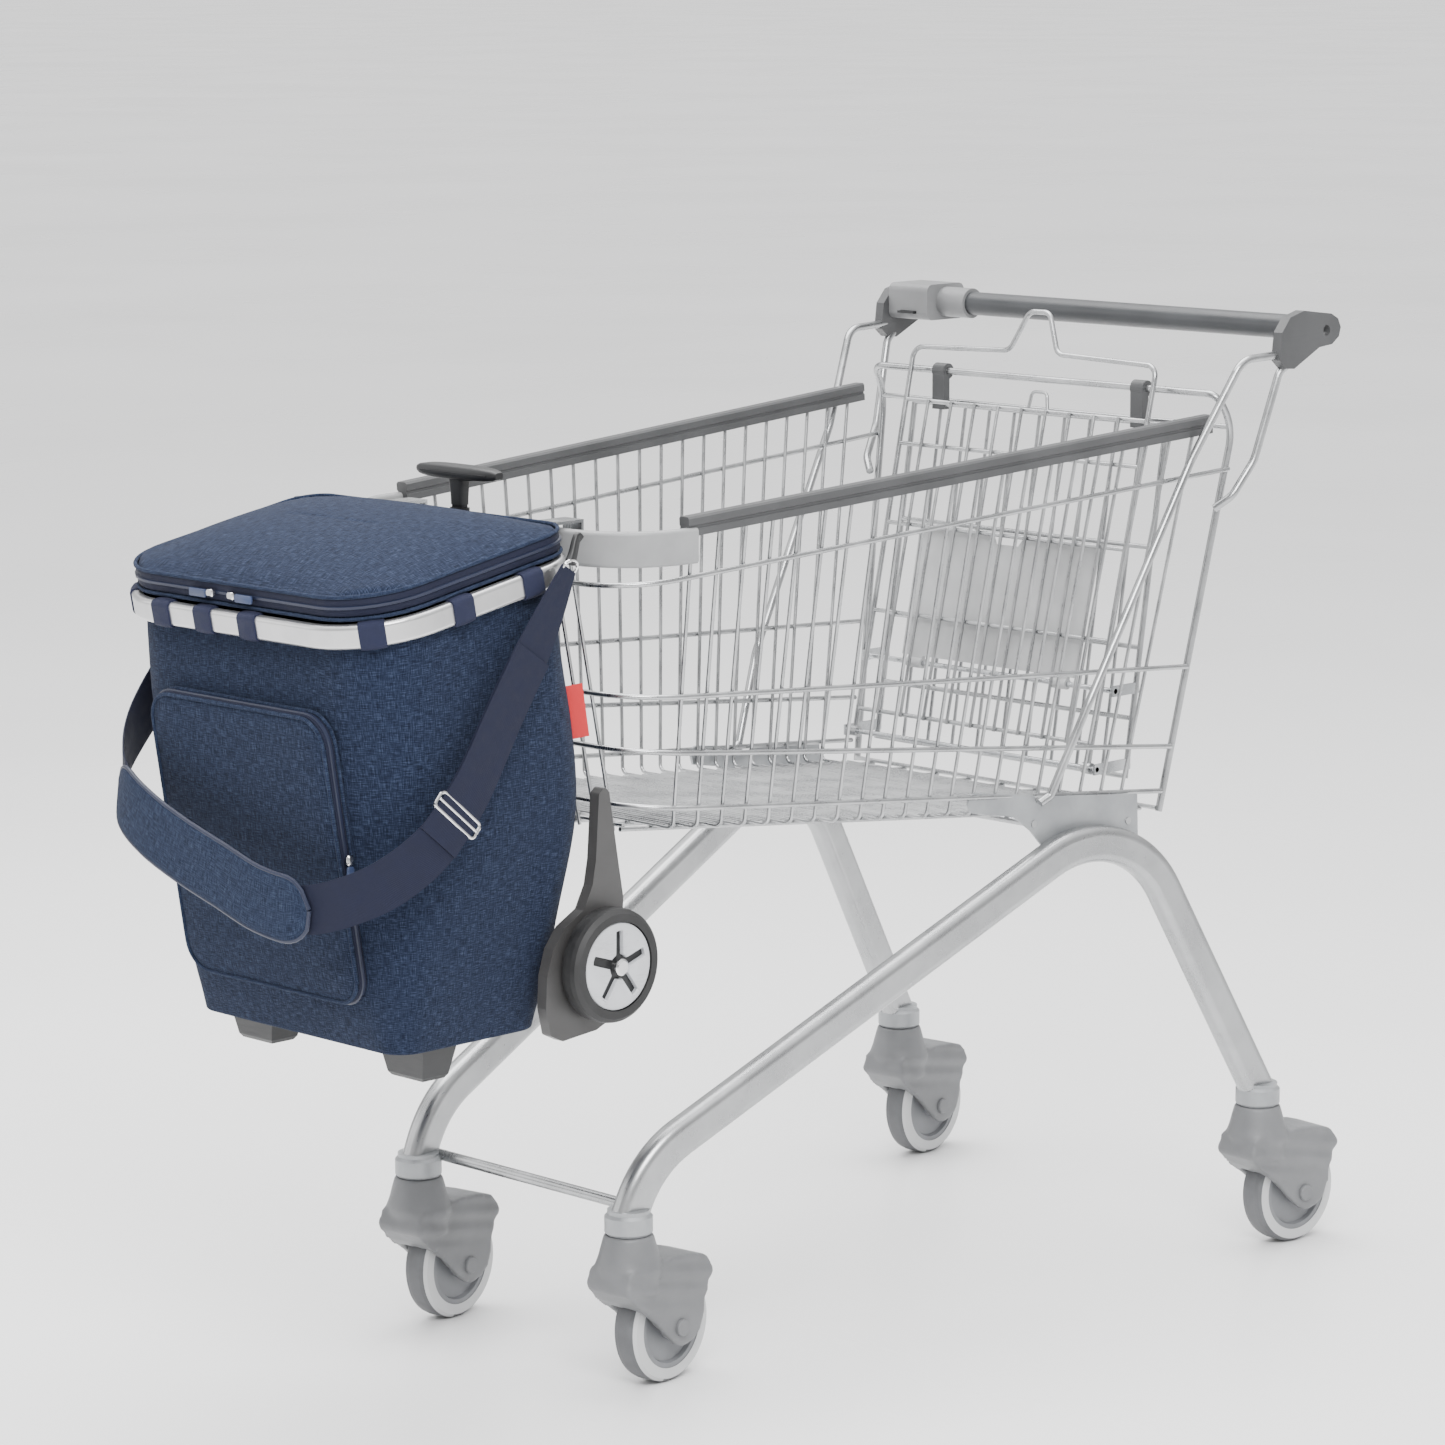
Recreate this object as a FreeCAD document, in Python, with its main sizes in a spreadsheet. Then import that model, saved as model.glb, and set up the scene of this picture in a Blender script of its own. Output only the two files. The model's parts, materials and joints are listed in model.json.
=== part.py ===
import FreeCAD, Part
import math
import os

import Sketcher
from FreeCAD import Vector, Placement, Rotation

# Wire shopping trolley on four castors with a wheeled fabric bag hooked on its front.
# Frame: +Z up, floor at z = 0, +Y towards the push handle, +X the user's left-hand side
# when seen from the handle end. Lengths in millimetres.

doc = FreeCAD.newDocument("wire_trolley")
sheet = doc.addObject("Spreadsheet::Sheet", "dims")

DIMENSIONS = [
    # chassis
    ("front_swivel_half", 163), ("front_swivel_pos", -307),
    ("rear_swivel_half", 278), ("rear_swivel_pos", 564),
    ("leg_foot_height", 182), ("leg_depth", 40), ("leg_width", 25),
    ("leg_corner", 10), ("leg_wall", 2), ("cross_bar_dia", 12),
    # castors
    ("wheel_dia", 120), ("wheel_width", 30), ("castor_trail", 50),
    ("collar_dia", 50), ("fork_width", 56), ("fork_gap", 37),
    ("axle_dia", 10), ("running_gap", 0.06),
    # basket
    ("basket_front", -352), ("rail_front", -272), ("rail_back", 478),
    ("front_half", 214), ("back_half", 266), ("rim_front_height", 894),
    ("rim_back_height", 946), ("corner_bend", 72),
    ("rib_dia", 4), ("hoop_dia", 5.6), ("rib_pitch", 36),
    ("post_dia", 8), ("rod_dia", 8), ("floor_front_height", 578),
    ("floor_fall", 0.0926), ("rail_width", 15), ("rail_height", 20),
    ("bumper_height", 36), ("bumper_thickness", 11),
    # handle
    ("handle_pos", 593), ("handle_height", 1043), ("handle_dia", 27),
    ("handle_wall", 2), ("handle_half", 294), ("bracket_thickness", 12),
    ("bracket_hole_dia", 12), ("stay_dia", 9),
    # gate and child seat
    ("gate_hinge_pos", 499), ("gate_hinge_height", 973), ("gate_half", 190),
    ("seat_pivot_pos", 382), ("seat_pivot_height", 562),
    ("seat_panel_width", 270), ("seat_panel_length", 150), ("seat_panel_thickness", 5),
    # bag
    ("bag_half", 200), ("bag_front", -666), ("bag_back", -396),
    ("bag_floor_height", 398), ("bag_rim_front_height", 817), ("bag_rim_slope", 10.5),
    ("bag_tube_height", 24), ("bag_tube_thickness", 12),
    ("bag_wheel_dia", 116), ("bag_wheel_width", 26), ("bag_wheel_half", 215),
    ("bag_wheel_pos", -379), ("bag_wheel_height", 466),
    ("pole_pos", -380), ("pole_width", 22), ("pole_depth", 14), ("grip_height", 940),
    ("grip_length", 120), ("strap_width", 48), ("strap_thickness", 2.4),
    # the row origin is the middle of the footprint
    ("origin_shift", 21.4),
]

for row, (alias, number) in enumerate(DIMENSIONS, start=1):
    sheet.set("A%d" % row, alias)
    sheet.set("B%d" % row, str(number))
    sheet.setAlias("B%d" % row, alias)
doc.recompute()


class Size(float):
    """A length from the sheet that also knows the expression that gives it."""

    def __new__(cls, number, text):
        size = float.__new__(cls, number)
        size.text = text
        return size

    @staticmethod
    def text_of(value):
        return value.text if isinstance(value, Size) else "%.10g mm" % value

    @staticmethod
    def bare(value):
        return value.text if isinstance(value, Size) else "%.10g" % value

    def __add__(self, other):
        return Size(float(self) + float(other), "(%s + %s)" % (self.text, Size.text_of(other)))

    def __sub__(self, other):
        return Size(float(self) - float(other), "(%s - %s)" % (self.text, Size.text_of(other)))

    def __rsub__(self, other):
        return Size(float(other) - float(self), "(%s - %s)" % (Size.text_of(other), self.text))

    def __mul__(self, factor):
        return Size(float(self) * factor, "(%s * %.10g)" % (self.text, factor))

    def __truediv__(self, divisor):
        return Size(float(self) / divisor, "(%s / %.10g)" % (self.text, divisor))

    def __neg__(self):
        return Size(-float(self), "(-1 * %s)" % self.text)

    __radd__ = __add__
    __rmul__ = __mul__


class Sizes:
    """Reads the sheet: sizes.wheel_dia is the cell named wheel_dia, in millimetres."""

    def __getattr__(self, alias):
        return Size(float(sheet.get(alias)), "dims.%s * 1 mm" % alias)


d = Sizes()
parts = []


def keep(feature, label, placement=None):
    """Gives a sub-part its name and place and lists it for export."""
    feature.Label = label
    if placement is not None:
        feature.Placement = placement
    parts.append(feature)
    return feature


def bind(feature, name, value):
    """Ties one property to the sheet, or sets it when it is a plain number."""
    if isinstance(value, Size):
        feature.setExpression(name, value.text)
    else:
        setattr(feature, name, value)


def shape_part(label, shape, placement=None):
    """A sub-part whose shape is worked out from the sheet with Part's own functions."""
    feature = doc.addObject("Part::Feature", label)
    feature.Shape = shape
    return keep(feature, label, placement or Placement())


def group_part(label, members):
    """Several like pieces that share one name; each stays a solid of its own."""
    group = doc.addObject("Part::Compound", label)
    group.Links = members
    for member in members:
        parts.remove(member)
    return keep(group, label)


def rod_part(label, radius, length, start, direction):
    """A round bar from start along direction."""
    feature = doc.addObject("Part::Cylinder", label)
    bind(feature, "Radius", radius)
    bind(feature, "Height", length)
    return keep(feature, label, Placement(start, Rotation(Vector(0, 0, 1), direction)))


def tube_part(label, radius, wall, length, start, direction):
    """A round tube: one cylinder cut from another."""
    outer = doc.addObject("Part::Cylinder", label + "_outer")
    bore = doc.addObject("Part::Cylinder", label + "_bore")
    bind(outer, "Radius", radius)
    bind(bore, "Radius", radius - wall)
    for cylinder in (outer, bore):
        bind(cylinder, "Height", length)
    tube = doc.addObject("Part::Cut", label)
    tube.Base, tube.Tool = outer, bore
    return keep(tube, label, Placement(start, Rotation(Vector(0, 0, 1), direction)))


def origin_plane(body, role):
    return [item for item in body.Origin.OriginFeatures if item.Role == role][0]


def sketch_outline(body, plane, corners, name, offset=0.0):
    """A closed polygon on one of the body's own planes; every corner is tied to the sheet."""
    sketch = body.newObject("Sketcher::SketchObject", name)
    sketch.AttachmentSupport = (origin_plane(body, plane), [""])
    sketch.MapMode = "FlatFace"
    sketch.AttachmentOffset = Placement(Vector(0, 0, offset), Rotation())
    count = len(corners)
    for i in range(count):
        a, b = corners[i], corners[(i + 1) % count]
        sketch.addGeometry(Part.LineSegment(Vector(a[0], a[1], 0), Vector(b[0], b[1], 0)))
    for i in range(count):
        sketch.addConstraint(Sketcher.Constraint("Coincident", i, 2, (i + 1) % count, 1))
    for i, corner in enumerate(corners):
        for kind, value in zip(("DistanceX", "DistanceY"), corner):
            if abs(value) < 1e-9:
                axis = -2 if kind == "DistanceX" else -1
                sketch.addConstraint(Sketcher.Constraint("PointOnObject", i, 1, axis))
                continue
            index = sketch.addConstraint(Sketcher.Constraint(kind, -1, 1, i, 1, float(value)))
            if isinstance(value, Size):
                sketch.setExpression("Constraints[%d]" % index, value.text)
    return sketch


def revolved_part(label, corners, placement, fillet=0.0, fillet_test=None):
    """A turned piece: an (r, x) outline revolved about its body's X axis."""
    body = doc.addObject("PartDesign::Body", label)
    sketch = sketch_outline(body, "XY_Plane", [(x, r) for r, x in corners], label + "_outline")
    turn = body.newObject("PartDesign::Revolution", label + "_turn")
    turn.Profile = sketch
    turn.ReferenceAxis = (sketch, ["H_Axis"])
    turn.Angle = 360
    doc.recompute()
    if fillet:
        round_edges(body, turn, label, fillet, fillet_test)
    return keep(body, label, placement)


def round_edges(body, base, label, radius, test=None):
    """Rounds the edges that pass the test."""
    names = ["Edge%d" % (i + 1) for i, edge in enumerate(base.Shape.Edges)
             if test is None or test(edge)]
    rounding = body.newObject("PartDesign::Fillet", label + "_rounding")
    rounding.Base = (base, names)
    bind(rounding, "Radius", radius)
    doc.recompute()
    return rounding


def plate_part(label, plane, corners, thickness, placement, holes=(), offset=0.0,
               fillet=0.0, fillet_test=None):
    """A flat piece: an outline padded to its thickness, with round holes (x, y, radius)."""
    body = doc.addObject("PartDesign::Body", label)
    sketch = sketch_outline(body, plane, corners, label + "_outline", offset)
    pad = body.newObject("PartDesign::Pad", label + "_pad")
    pad.Profile = sketch
    bind(pad, "Length", thickness)
    doc.recompute()
    if fillet:
        round_edges(body, pad, label, fillet, fillet_test)
    for i, (x, y, radius) in enumerate(holes):
        add_hole(body, plane, label + "_hole%d" % i, x, y, radius, offset, thickness)
    return keep(body, label, placement)


def add_hole(body, plane, name, x, y, radius, offset, thickness):
    """A round hole right through a padded plate."""
    sketch = body.newObject("Sketcher::SketchObject", name + "_circle")
    sketch.AttachmentSupport = (origin_plane(body, plane), [""])
    sketch.MapMode = "FlatFace"
    sketch.AttachmentOffset = Placement(Vector(0, 0, offset), Rotation())
    sketch.addGeometry(Part.Circle(Vector(x, y, 0), Vector(0, 0, 1), float(radius)))
    sketch.addConstraint(Sketcher.Constraint("DistanceX", -1, 1, 0, 3, float(x)))
    sketch.addConstraint(Sketcher.Constraint("DistanceY", -1, 1, 0, 3, float(y)))
    index = sketch.addConstraint(Sketcher.Constraint("Radius", 0, float(radius)))
    if isinstance(radius, Size):
        sketch.setExpression("Constraints[%d]" % index, radius.text)
    before = body.Shape.Volume
    pocket = body.newObject("PartDesign::Pocket", name)
    pocket.Profile = sketch
    bind(pocket, "Length", thickness * 3)
    pocket.Midplane = True
    doc.recompute()
    if body.Shape.Volume > before - 1:
        raise RuntimeError(name + " cuts nothing")


def rounded_path(points, bends):
    """Straight runs joined by tangent arcs; bends is one radius or one for each inner point."""
    points = [Vector(*p) for p in points]
    if not isinstance(bends, (list, tuple)):
        bends = [bends] * (len(points) - 2)
    edges, start = [], points[0]
    for before, corner, after, radius in zip(points, points[1:], points[2:], bends):
        into = (before - corner).normalize()
        out = (after - corner).normalize()
        half = into.getAngle(out) / 2
        setback = radius / math.tan(half)
        arc_start = corner + into * setback
        arc_end = corner + out * setback
        bisector = (into + out).normalize()
        middle = corner + bisector * (radius / math.sin(half) - radius)
        if (arc_start - start).Length > 1e-4:
            edges.append(Part.LineSegment(start, arc_start).toShape())
        edges.append(Part.Arc(arc_start, middle, arc_end).toShape())
        start = arc_end
    edges.append(Part.LineSegment(start, points[-1]).toShape())
    return Part.Wire(edges)


def bent_wire(points, radius, bends=15.0):
    """Round wire along a path of straight runs and arcs."""
    path = rounded_path(points, bends)
    begin = path.Edges[0]
    direction = begin.tangentAt(begin.FirstParameter)
    circle = Part.makeCircle(float(radius), Vector(*points[0]), direction)
    return path.makePipeShell([Part.Wire([circle])], True, False)


def straight_wire(a, b, radius):
    """Round wire between two points."""
    a, b = Vector(*a), Vector(*b)
    return Part.makeCylinder(float(radius), (b - a).Length, a, b - a)


def weld(shapes):
    """Crossing wires fused into one piece."""
    return shapes[0].multiFuse(shapes[1:]).removeSplitter()


def lerp(a, b, t):
    return a + (b - a) * t


def rounded_section(centre, across, up, width, depth, corner):
    """A rectangle with round corners around a point, as one wire."""
    reach = [(width / 2, -depth / 2), (width / 2, depth / 2),
             (-width / 2, depth / 2), (-width / 2, -depth / 2)]
    bulge = corner * (1 - math.sqrt(0.5))
    edges = []
    for i in range(4):
        (x0, y0), (x1, y1), (x2, y2) = reach[i], reach[(i + 1) % 4], reach[(i + 2) % 4]
        ux, uy = (x1 > x0) - (x1 < x0), (y1 > y0) - (y1 < y0)
        vx, vy = (x2 > x1) - (x2 < x1), (y2 > y1) - (y2 < y1)
        points = [(x0 + ux * corner, y0 + uy * corner), (x1 - ux * corner, y1 - uy * corner),
                  (x1 + (vx - ux) * bulge, y1 + (vy - uy) * bulge),
                  (x1 + vx * corner, y1 + vy * corner)]
        a, b, m, c = [centre + across * x + up * y for x, y in points]
        edges += [Part.LineSegment(a, b).toShape(), Part.Arc(b, m, c).toShape()]
    return Part.Wire(edges)


# ---- chassis: one bent tube each side, standing on two castors ----

frame_sideways = float(d.rear_swivel_half) - float(d.front_swivel_half)
frame_length = float(d.rear_swivel_pos) - float(d.front_swivel_pos)
frame_run = math.hypot(frame_sideways, frame_length)


def frame_point(along, height, side, inset=0.0):
    """A point in the upright plane of one side frame; along is measured from the front swivel."""
    x = float(d.front_swivel_half) + frame_sideways * along / frame_run
    y = float(d.front_swivel_pos) + frame_length * along / frame_run
    x -= inset * frame_length / frame_run
    y += inset * frame_sideways / frame_run
    return Vector(side * x, y, height)


def side_frame(side):
    """Oval tube: short front leg, long rise to the saddle, tight bend, straight back leg."""
    foot = float(d.leg_foot_height)
    corners = [(0, foot), (25, 238), (672, 533), (frame_run, foot)]
    path = rounded_path([frame_point(s, z, side) for s, z in corners], [118.0, 130.0])
    start = frame_point(0, foot, side)
    rise = (frame_point(25, 238, side) - start).normalize()
    across = Vector(frame_length, -side * frame_sideways, 0).normalize()
    up = rise.cross(across)
    width, depth, wall = float(d.leg_width), float(d.leg_depth), float(d.leg_wall)
    corner = float(d.leg_corner)
    outer = rounded_section(start, across, up, width, depth, corner)
    inner = rounded_section(start, across, up, width - 2 * wall, depth - 2 * wall, corner - wall)
    return path.makePipeShell([outer], True, False).cut(path.makePipeShell([inner], True, False))


for side, name in ((1, "left"), (-1, "right")):
    shape_part(name + "_frame_tube", side_frame(side))

cross_bar_half = 165
rod_part("front_cross_bar", d.cross_bar_dia / 2, 2 * cross_bar_half,
         Vector(-cross_bar_half, float(d.front_swivel_pos) + 24, 186), Vector(1, 0, 0))

saddle_outline = [(150, 558), (154, 547), (214, 536), (238, 518), (256, 498), (300, 507),
                  (345, 503), (394, 478), (392, 541), (264, 553), (258, 546), (246, 547),
                  (243, 556), (160, 568), (152, 566)]
saddle_thickness = 3
saddle_turn = math.degrees(math.atan2(frame_sideways, frame_length))
plates = []
for side, name in ((1, "left"), (-1, "right")):
    at_axis = frame_point(-float(d.front_swivel_pos) * frame_run / frame_length, 0, side, 11.5)
    shift = at_axis - Vector(0, at_axis.y, 0) + Vector(-saddle_thickness / 2, 0, 0)
    plates.append(plate_part(name + "_saddle_plate", "YZ_Plane", saddle_outline, saddle_thickness,
                             Placement(shift, Rotation(Vector(0, 0, 1), -side * saddle_turn))))
group_part("saddle_plates", plates)


def floor_height(y):
    """Centre height of the basket floor's long wires; the floor falls towards the handle."""
    return float(d.floor_front_height) - float(d.floor_fall) * (y + 265)


bearers = []
for y, name in ((240, "front"), (375, "back")):
    along = (y - float(d.front_swivel_pos)) * frame_run / frame_length
    end = frame_point(along, 0, 1, 9).x
    bearers.append(rod_part(name + "_bearer", d.rod_dia / 2, 2 * end,
                            Vector(-end, y, floor_height(y) - 6.2), Vector(1, 0, 0)))
bearers.append(rod_part("back_top_wire", d.rod_dia / 2 - 1, 2 * 262, Vector(-262, 517, 936),
                        Vector(1, 0, 0)))
group_part("cross_wires", bearers)


# ---- castors: steel socket in the leg, plastic fork on a king pin, wheel on an axle ----

wheel_radius = float(d.wheel_dia) / 2
castor_places = {"front_left": (1, d.front_swivel_half, d.front_swivel_pos, 6),
                 "front_right": (-1, d.front_swivel_half, d.front_swivel_pos, 9),
                 "rear_left": (1, d.rear_swivel_half, d.rear_swivel_pos, -6),
                 "rear_right": (-1, d.rear_swivel_half, d.rear_swivel_pos, 6)}
fork_top, socket_top, king_pin_radius, king_pin_depth = 166.0, 192.0, 6.0, 30.0


def socket_shape():
    """Collar that closes the leg's foot, with the king pin below it."""
    radius = float(d.collar_dia) / 2
    outline = [(0, fork_top - king_pin_depth), (king_pin_radius, fork_top - king_pin_depth),
               (king_pin_radius, fork_top + 0.4), (radius - 2, fork_top + 0.4),
               (radius, fork_top + 3), (radius, socket_top - 7), (radius - 3, socket_top - 4),
               (radius - 3, socket_top), (0, socket_top)]
    points = [Vector(r, 0, z) for r, z in outline]
    face = Part.Face(Part.makePolygon(points + points[:1]))
    return face.revolve(Vector(), Vector(0, 0, 1), 360)


def fork_shape():
    """Hooded fork: a cone under the collar, a hood over the wheel, cheeks down to the axle."""
    trail, gap = float(d.castor_trail), float(d.running_gap)
    half = float(d.fork_width) / 2
    bottom = fork_top - 34
    cone = Part.makeCone(34.5, float(d.collar_dia) / 2 + 0.5, 34, Vector(0, 0, bottom))
    skirt = Part.makeCone(30, 34.5, 26, Vector(0, 0, bottom - 26))
    cheek = [(-31, 132), (-33, 110), (-20, 97), (9, 75), (30, 54), (44, 42), (55, 38), (68, 41),
             (82, 50), (88, 66), (90, 84), (97, 104), (101, 112), (100, 119), (90, 128), (70, 134),
             (40, 137)]
    points = [Vector(-half, y, z) for y, z in cheek]
    hood = Part.Face(Part.makePolygon(points + points[:1])).extrude(Vector(2 * half, 0, 0))
    hood = hood.makeFillet(5, [e for e in hood.Edges if abs(e.tangentAt(0).x) > 0.9
                               and e.CenterOfMass.z > 80])
    body = hood.fuse([cone, skirt])
    wheel_room = Part.makeCylinder(wheel_radius + 4, float(d.fork_gap),
                                   Vector(-float(d.fork_gap) / 2, trail, wheel_radius), Vector(1, 0, 0))
    axle_hole = Part.makeCylinder(float(d.axle_dia) / 2, 4 * half,
                                  Vector(-2 * half, trail, wheel_radius), Vector(1, 0, 0))
    pin_hole = Part.makeCylinder(king_pin_radius + gap, king_pin_depth + 1,
                                 Vector(0, 0, fork_top - king_pin_depth - 1))
    return body.cut([wheel_room, axle_hole, pin_hole]).removeSplitter()


def castor_placement(key):
    side, half, y, turn = castor_places[key]
    return Placement(Vector(side * float(half), float(y), 0), Rotation(Vector(0, 0, 1), turn))


socket = socket_shape()
sockets = []
for key in castor_places:
    copy = socket.copy()
    copy.Placement = castor_placement(key)
    sockets.append(copy)
shape_part("castor_sockets", Part.Compound(sockets))

tyre_half = d.wheel_width / 2
hub_rim = d.wheel_dia / 2 - 15
bore_radius = d.axle_dia / 2 + d.running_gap
tyre_outline = [(hub_rim, -tyre_half), (d.wheel_dia / 2 - 4, -tyre_half),
                (d.wheel_dia / 2 - 1, -tyre_half + 3), (d.wheel_dia / 2, -tyre_half + 8),
                (d.wheel_dia / 2, tyre_half - 8), (d.wheel_dia / 2 - 1, tyre_half - 3),
                (d.wheel_dia / 2 - 4, tyre_half), (hub_rim, tyre_half)]
hub_outline = [(bore_radius, -tyre_half - 2), (d.axle_dia / 2 + 8, -tyre_half - 2),
               (d.axle_dia / 2 + 9, -tyre_half + 5), (hub_rim - 7, -tyre_half + 5),
               (hub_rim - 5, -tyre_half + 0.6), (hub_rim, -tyre_half + 0.6),
               (hub_rim, tyre_half - 0.6), (hub_rim - 5, tyre_half - 0.6),
               (hub_rim - 7, tyre_half - 5), (d.axle_dia / 2 + 9, tyre_half - 5),
               (d.axle_dia / 2 + 8, tyre_half + 2), (bore_radius, tyre_half + 2)]
head = d.fork_width / 2
axle_outline = [(0, -head - 4), (d.axle_dia / 2 + 3, -head - 4), (d.axle_dia / 2 + 4, -head - 3),
                (d.axle_dia / 2 + 4, -head), (d.axle_dia / 2, -head), (d.axle_dia / 2, head),
                (d.axle_dia / 2 + 4, head), (d.axle_dia / 2 + 4, head + 3),
                (d.axle_dia / 2 + 3, head + 4), (0, head + 4)]
fork = fork_shape()
for key in castor_places:
    place = castor_placement(key)
    wheel_place = place.multiply(Placement(Vector(0, float(d.castor_trail), wheel_radius), Rotation()))
    shape_part("castor_fork_" + key, fork.copy(), place)
    revolved_part("castor_tyre_" + key, tyre_outline, wheel_place)
    revolved_part("castor_hub_" + key, hub_outline, wheel_place)
    revolved_part("castor_axle_" + key, axle_outline, wheel_place)


# ---- basket: welded wire walls and floor, rail profiles, front bumper, back arch ----

rib_radius, hoop_radius = float(d.rib_dia) / 2, float(d.hoop_dia) / 2
long_wire_radius = 2.5
weld_bite = 0.5
hoop_offset = rib_radius + hoop_radius - weld_bite
rail_front, rail_back = float(d.rail_front), float(d.rail_back)
wall_back = 523.0
corner_bend = float(d.corner_bend)


def wall_point(t, k, side=1, outward=0.0):
    """A point of a side wall: t runs from front to back, k from the lowest hoop to the rim."""
    low = Vector(lerp(176, 233, t), lerp(-262, 438, t), lerp(603, 537, t))
    high = Vector(lerp(float(d.front_half), float(d.back_half), t), lerp(rail_front, wall_back, t),
                  lerp(float(d.rim_front_height), float(d.rim_back_height), t))
    point = low + (high - low) * k
    return Vector(side * (point.x + outward), point.y, point.z)


def front_line(height):
    """How far forward the front wall stands at a height."""
    return float(d.basket_front) + (float(d.rim_front_height) - height) * 0.2


def hoop_corner(k_front, k_back, side):
    """Where the side line of a hoop meets the front wall."""
    back = wall_point(1, k_back, side, hoop_offset)
    front = wall_point(0, k_front, side, hoop_offset)
    corner = front
    for _ in range(3):
        y = front_line(corner.z) - hoop_offset
        corner = back + (front - back) * ((back.y - y) / (back.y - front.y))
    return corner


hoops = [(0.0, 0.0), (0.2, 0.12), (0.4, 0.335), (0.82, 0.865)]


rib_return = 18.0
cross_lift = long_wire_radius + rib_radius - weld_bite


def rib_foot(t, side):
    """Where a rib, carried straight on below the lowest hoop, turns in under the basket."""
    low, high = wall_point(t, 0), wall_point(t, 1)
    height = floor_height(low.y) + cross_lift
    return wall_point(t, (height - low.z) / (high.z - low.z), side)


def side_wall(side):
    """Ribs and the straight lengths of the hoops."""
    wires = []
    for k_front, k_back in hoops:
        corner = hoop_corner(k_front, k_back, side)
        back = wall_point(1, k_back, side, hoop_offset)
        start = corner + (back - corner).normalize() * (corner_bend + 12)
        wires.append(straight_wire(start, back, hoop_radius))
    for t in rib_stations:
        foot = rib_foot(t, side)
        inward = (foot.x - side * rib_return, foot.y, foot.z)
        wires.append(bent_wire([wall_point(t, 1, side), foot, inward], rib_radius, 9.0))
    return weld(wires)


rib_count = int(round((rail_back - rail_front) / float(d.rib_pitch)))
rib_stations = [(i + 0.3) / (rib_count - 0.2) * 0.94 for i in range(rib_count)]
group_part("basket_side_walls", [shape_part("basket_%s_wall" % name, side_wall(side))
                                 for side, name in ((1, "left"), (-1, "right"))])


def front_wall():
    """The hoops' round corners and the upright wires between them."""
    wires = []
    for k_front, k_back in hoops + [(0.985, 0.985)]:
        ends = []
        for side in (1, -1):
            corner = hoop_corner(k_front, k_back, side)
            back = wall_point(1, k_back, side, hoop_offset)
            ends.append((corner + (back - corner).normalize() * (corner_bend + 12), corner))
        (a, b), (e, c) = ends
        wires.append(bent_wire([a, b, c, e], hoop_radius, corner_bend))
    top, low = 888.0, 577.0
    for x in range(-125, 126, 25):
        wires.append(straight_wire((x * 1.0, front_line(top), top),
                                   (x * 1.0, front_line(low), low), rib_radius))
    return weld(wires)


shape_part("basket_front_wall", front_wall())


def basket_floor():
    """Long wires with the cross wires on them; each cross wire runs from rib to rib."""
    wires = []
    for share in (-0.92, -0.69, -0.46, -0.23, 0, 0.23, 0.46, 0.69, 0.92):
        front, back = front_line(577) - 3, 441.0
        wires.append(straight_wire((share * 150, front, floor_height(front)),
                                   (share * 222, back, floor_height(back)), long_wire_radius))
    for t in rib_stations:
        foot = rib_foot(t, 1)
        half = foot.x - rib_return
        wires.append(straight_wire((-half, foot.y, foot.z), (half, foot.y, foot.z), rib_radius))
    for y in (front_line(577) + 2, 438):
        z = floor_height(y) + cross_lift
        half = 138 if y < 0 else 230
        wires.append(straight_wire((-half, y, z), (half, y, z), rib_radius + 0.5))
    return weld(wires)


shape_part("basket_floor", basket_floor())

post_radius = float(d.post_dia) / 2
hinge_line = Vector(0, float(d.gate_hinge_pos), float(d.gate_hinge_height))
arch = [(231, 441, 513), (264, 521, 938), (258, hinge_line.y, hinge_line.z)]
shape_part("back_arch", bent_wire(arch + [(-x, y, z) for x, y, z in reversed(arch)],
                                  post_radius, [60.0, 14.0, 14.0, 60.0]))

rail_outline = [(-d.rail_width / 2, -d.rail_height / 2), (d.rail_width / 2, -d.rail_height / 2),
                (d.rail_width / 2, -3), (d.rail_width / 2 - 1.5, -2), (d.rail_width / 2 - 1.5, 0),
                (d.rail_width / 2, 1), (d.rail_width / 2, d.rail_height / 2 - 2),
                (d.rail_width / 2 - 2, d.rail_height / 2), (-d.rail_width / 2 + 2, d.rail_height / 2),
                (-d.rail_width / 2, d.rail_height / 2 - 2), (-d.rail_width / 2, 1),
                (-d.rail_width / 2 + 1.5, 0), (-d.rail_width / 2 + 1.5, -2), (-d.rail_width / 2, -3)]
rails = []
for side, name in ((1, "left"), (-1, "right")):
    start, end = wall_point(0, 1, side), wall_point(0.944, 1, side)
    along = (end - start).normalize()
    across = along.cross(Vector(0, 0, 1)).normalize()
    upward = across.cross(along)
    rails.append(plate_part("%s_top_rail" % name, "XY_Plane", rail_outline, (end - start).Length,
                            Placement(start, Rotation(across, upward, along, "ZYX"))))
group_part("top_rails", rails)

bumper_middle = 875.0
bumper_line = front_line(bumper_middle) - 2 * hoop_offset
bumper_path = rounded_path([(219, -262, bumper_middle), (213, bumper_line, bumper_middle),
                            (-213, bumper_line, bumper_middle), (-219, -262, bumper_middle)],
                           corner_bend + 4)
bumper_start = bumper_path.Edges[0].tangentAt(0)
bumper_section = rounded_section(Vector(219, -262, bumper_middle),
                                 bumper_start.cross(Vector(0, 0, 1)), Vector(0, 0, 1),
                                 float(d.bumper_thickness), float(d.bumper_height), 4.0)
shape_part("front_bumper", bumper_path.makePipeShell([bumper_section], True, False))


# ---- push handle: bar, two end brackets, four wire stays, coin lock ----

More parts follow.
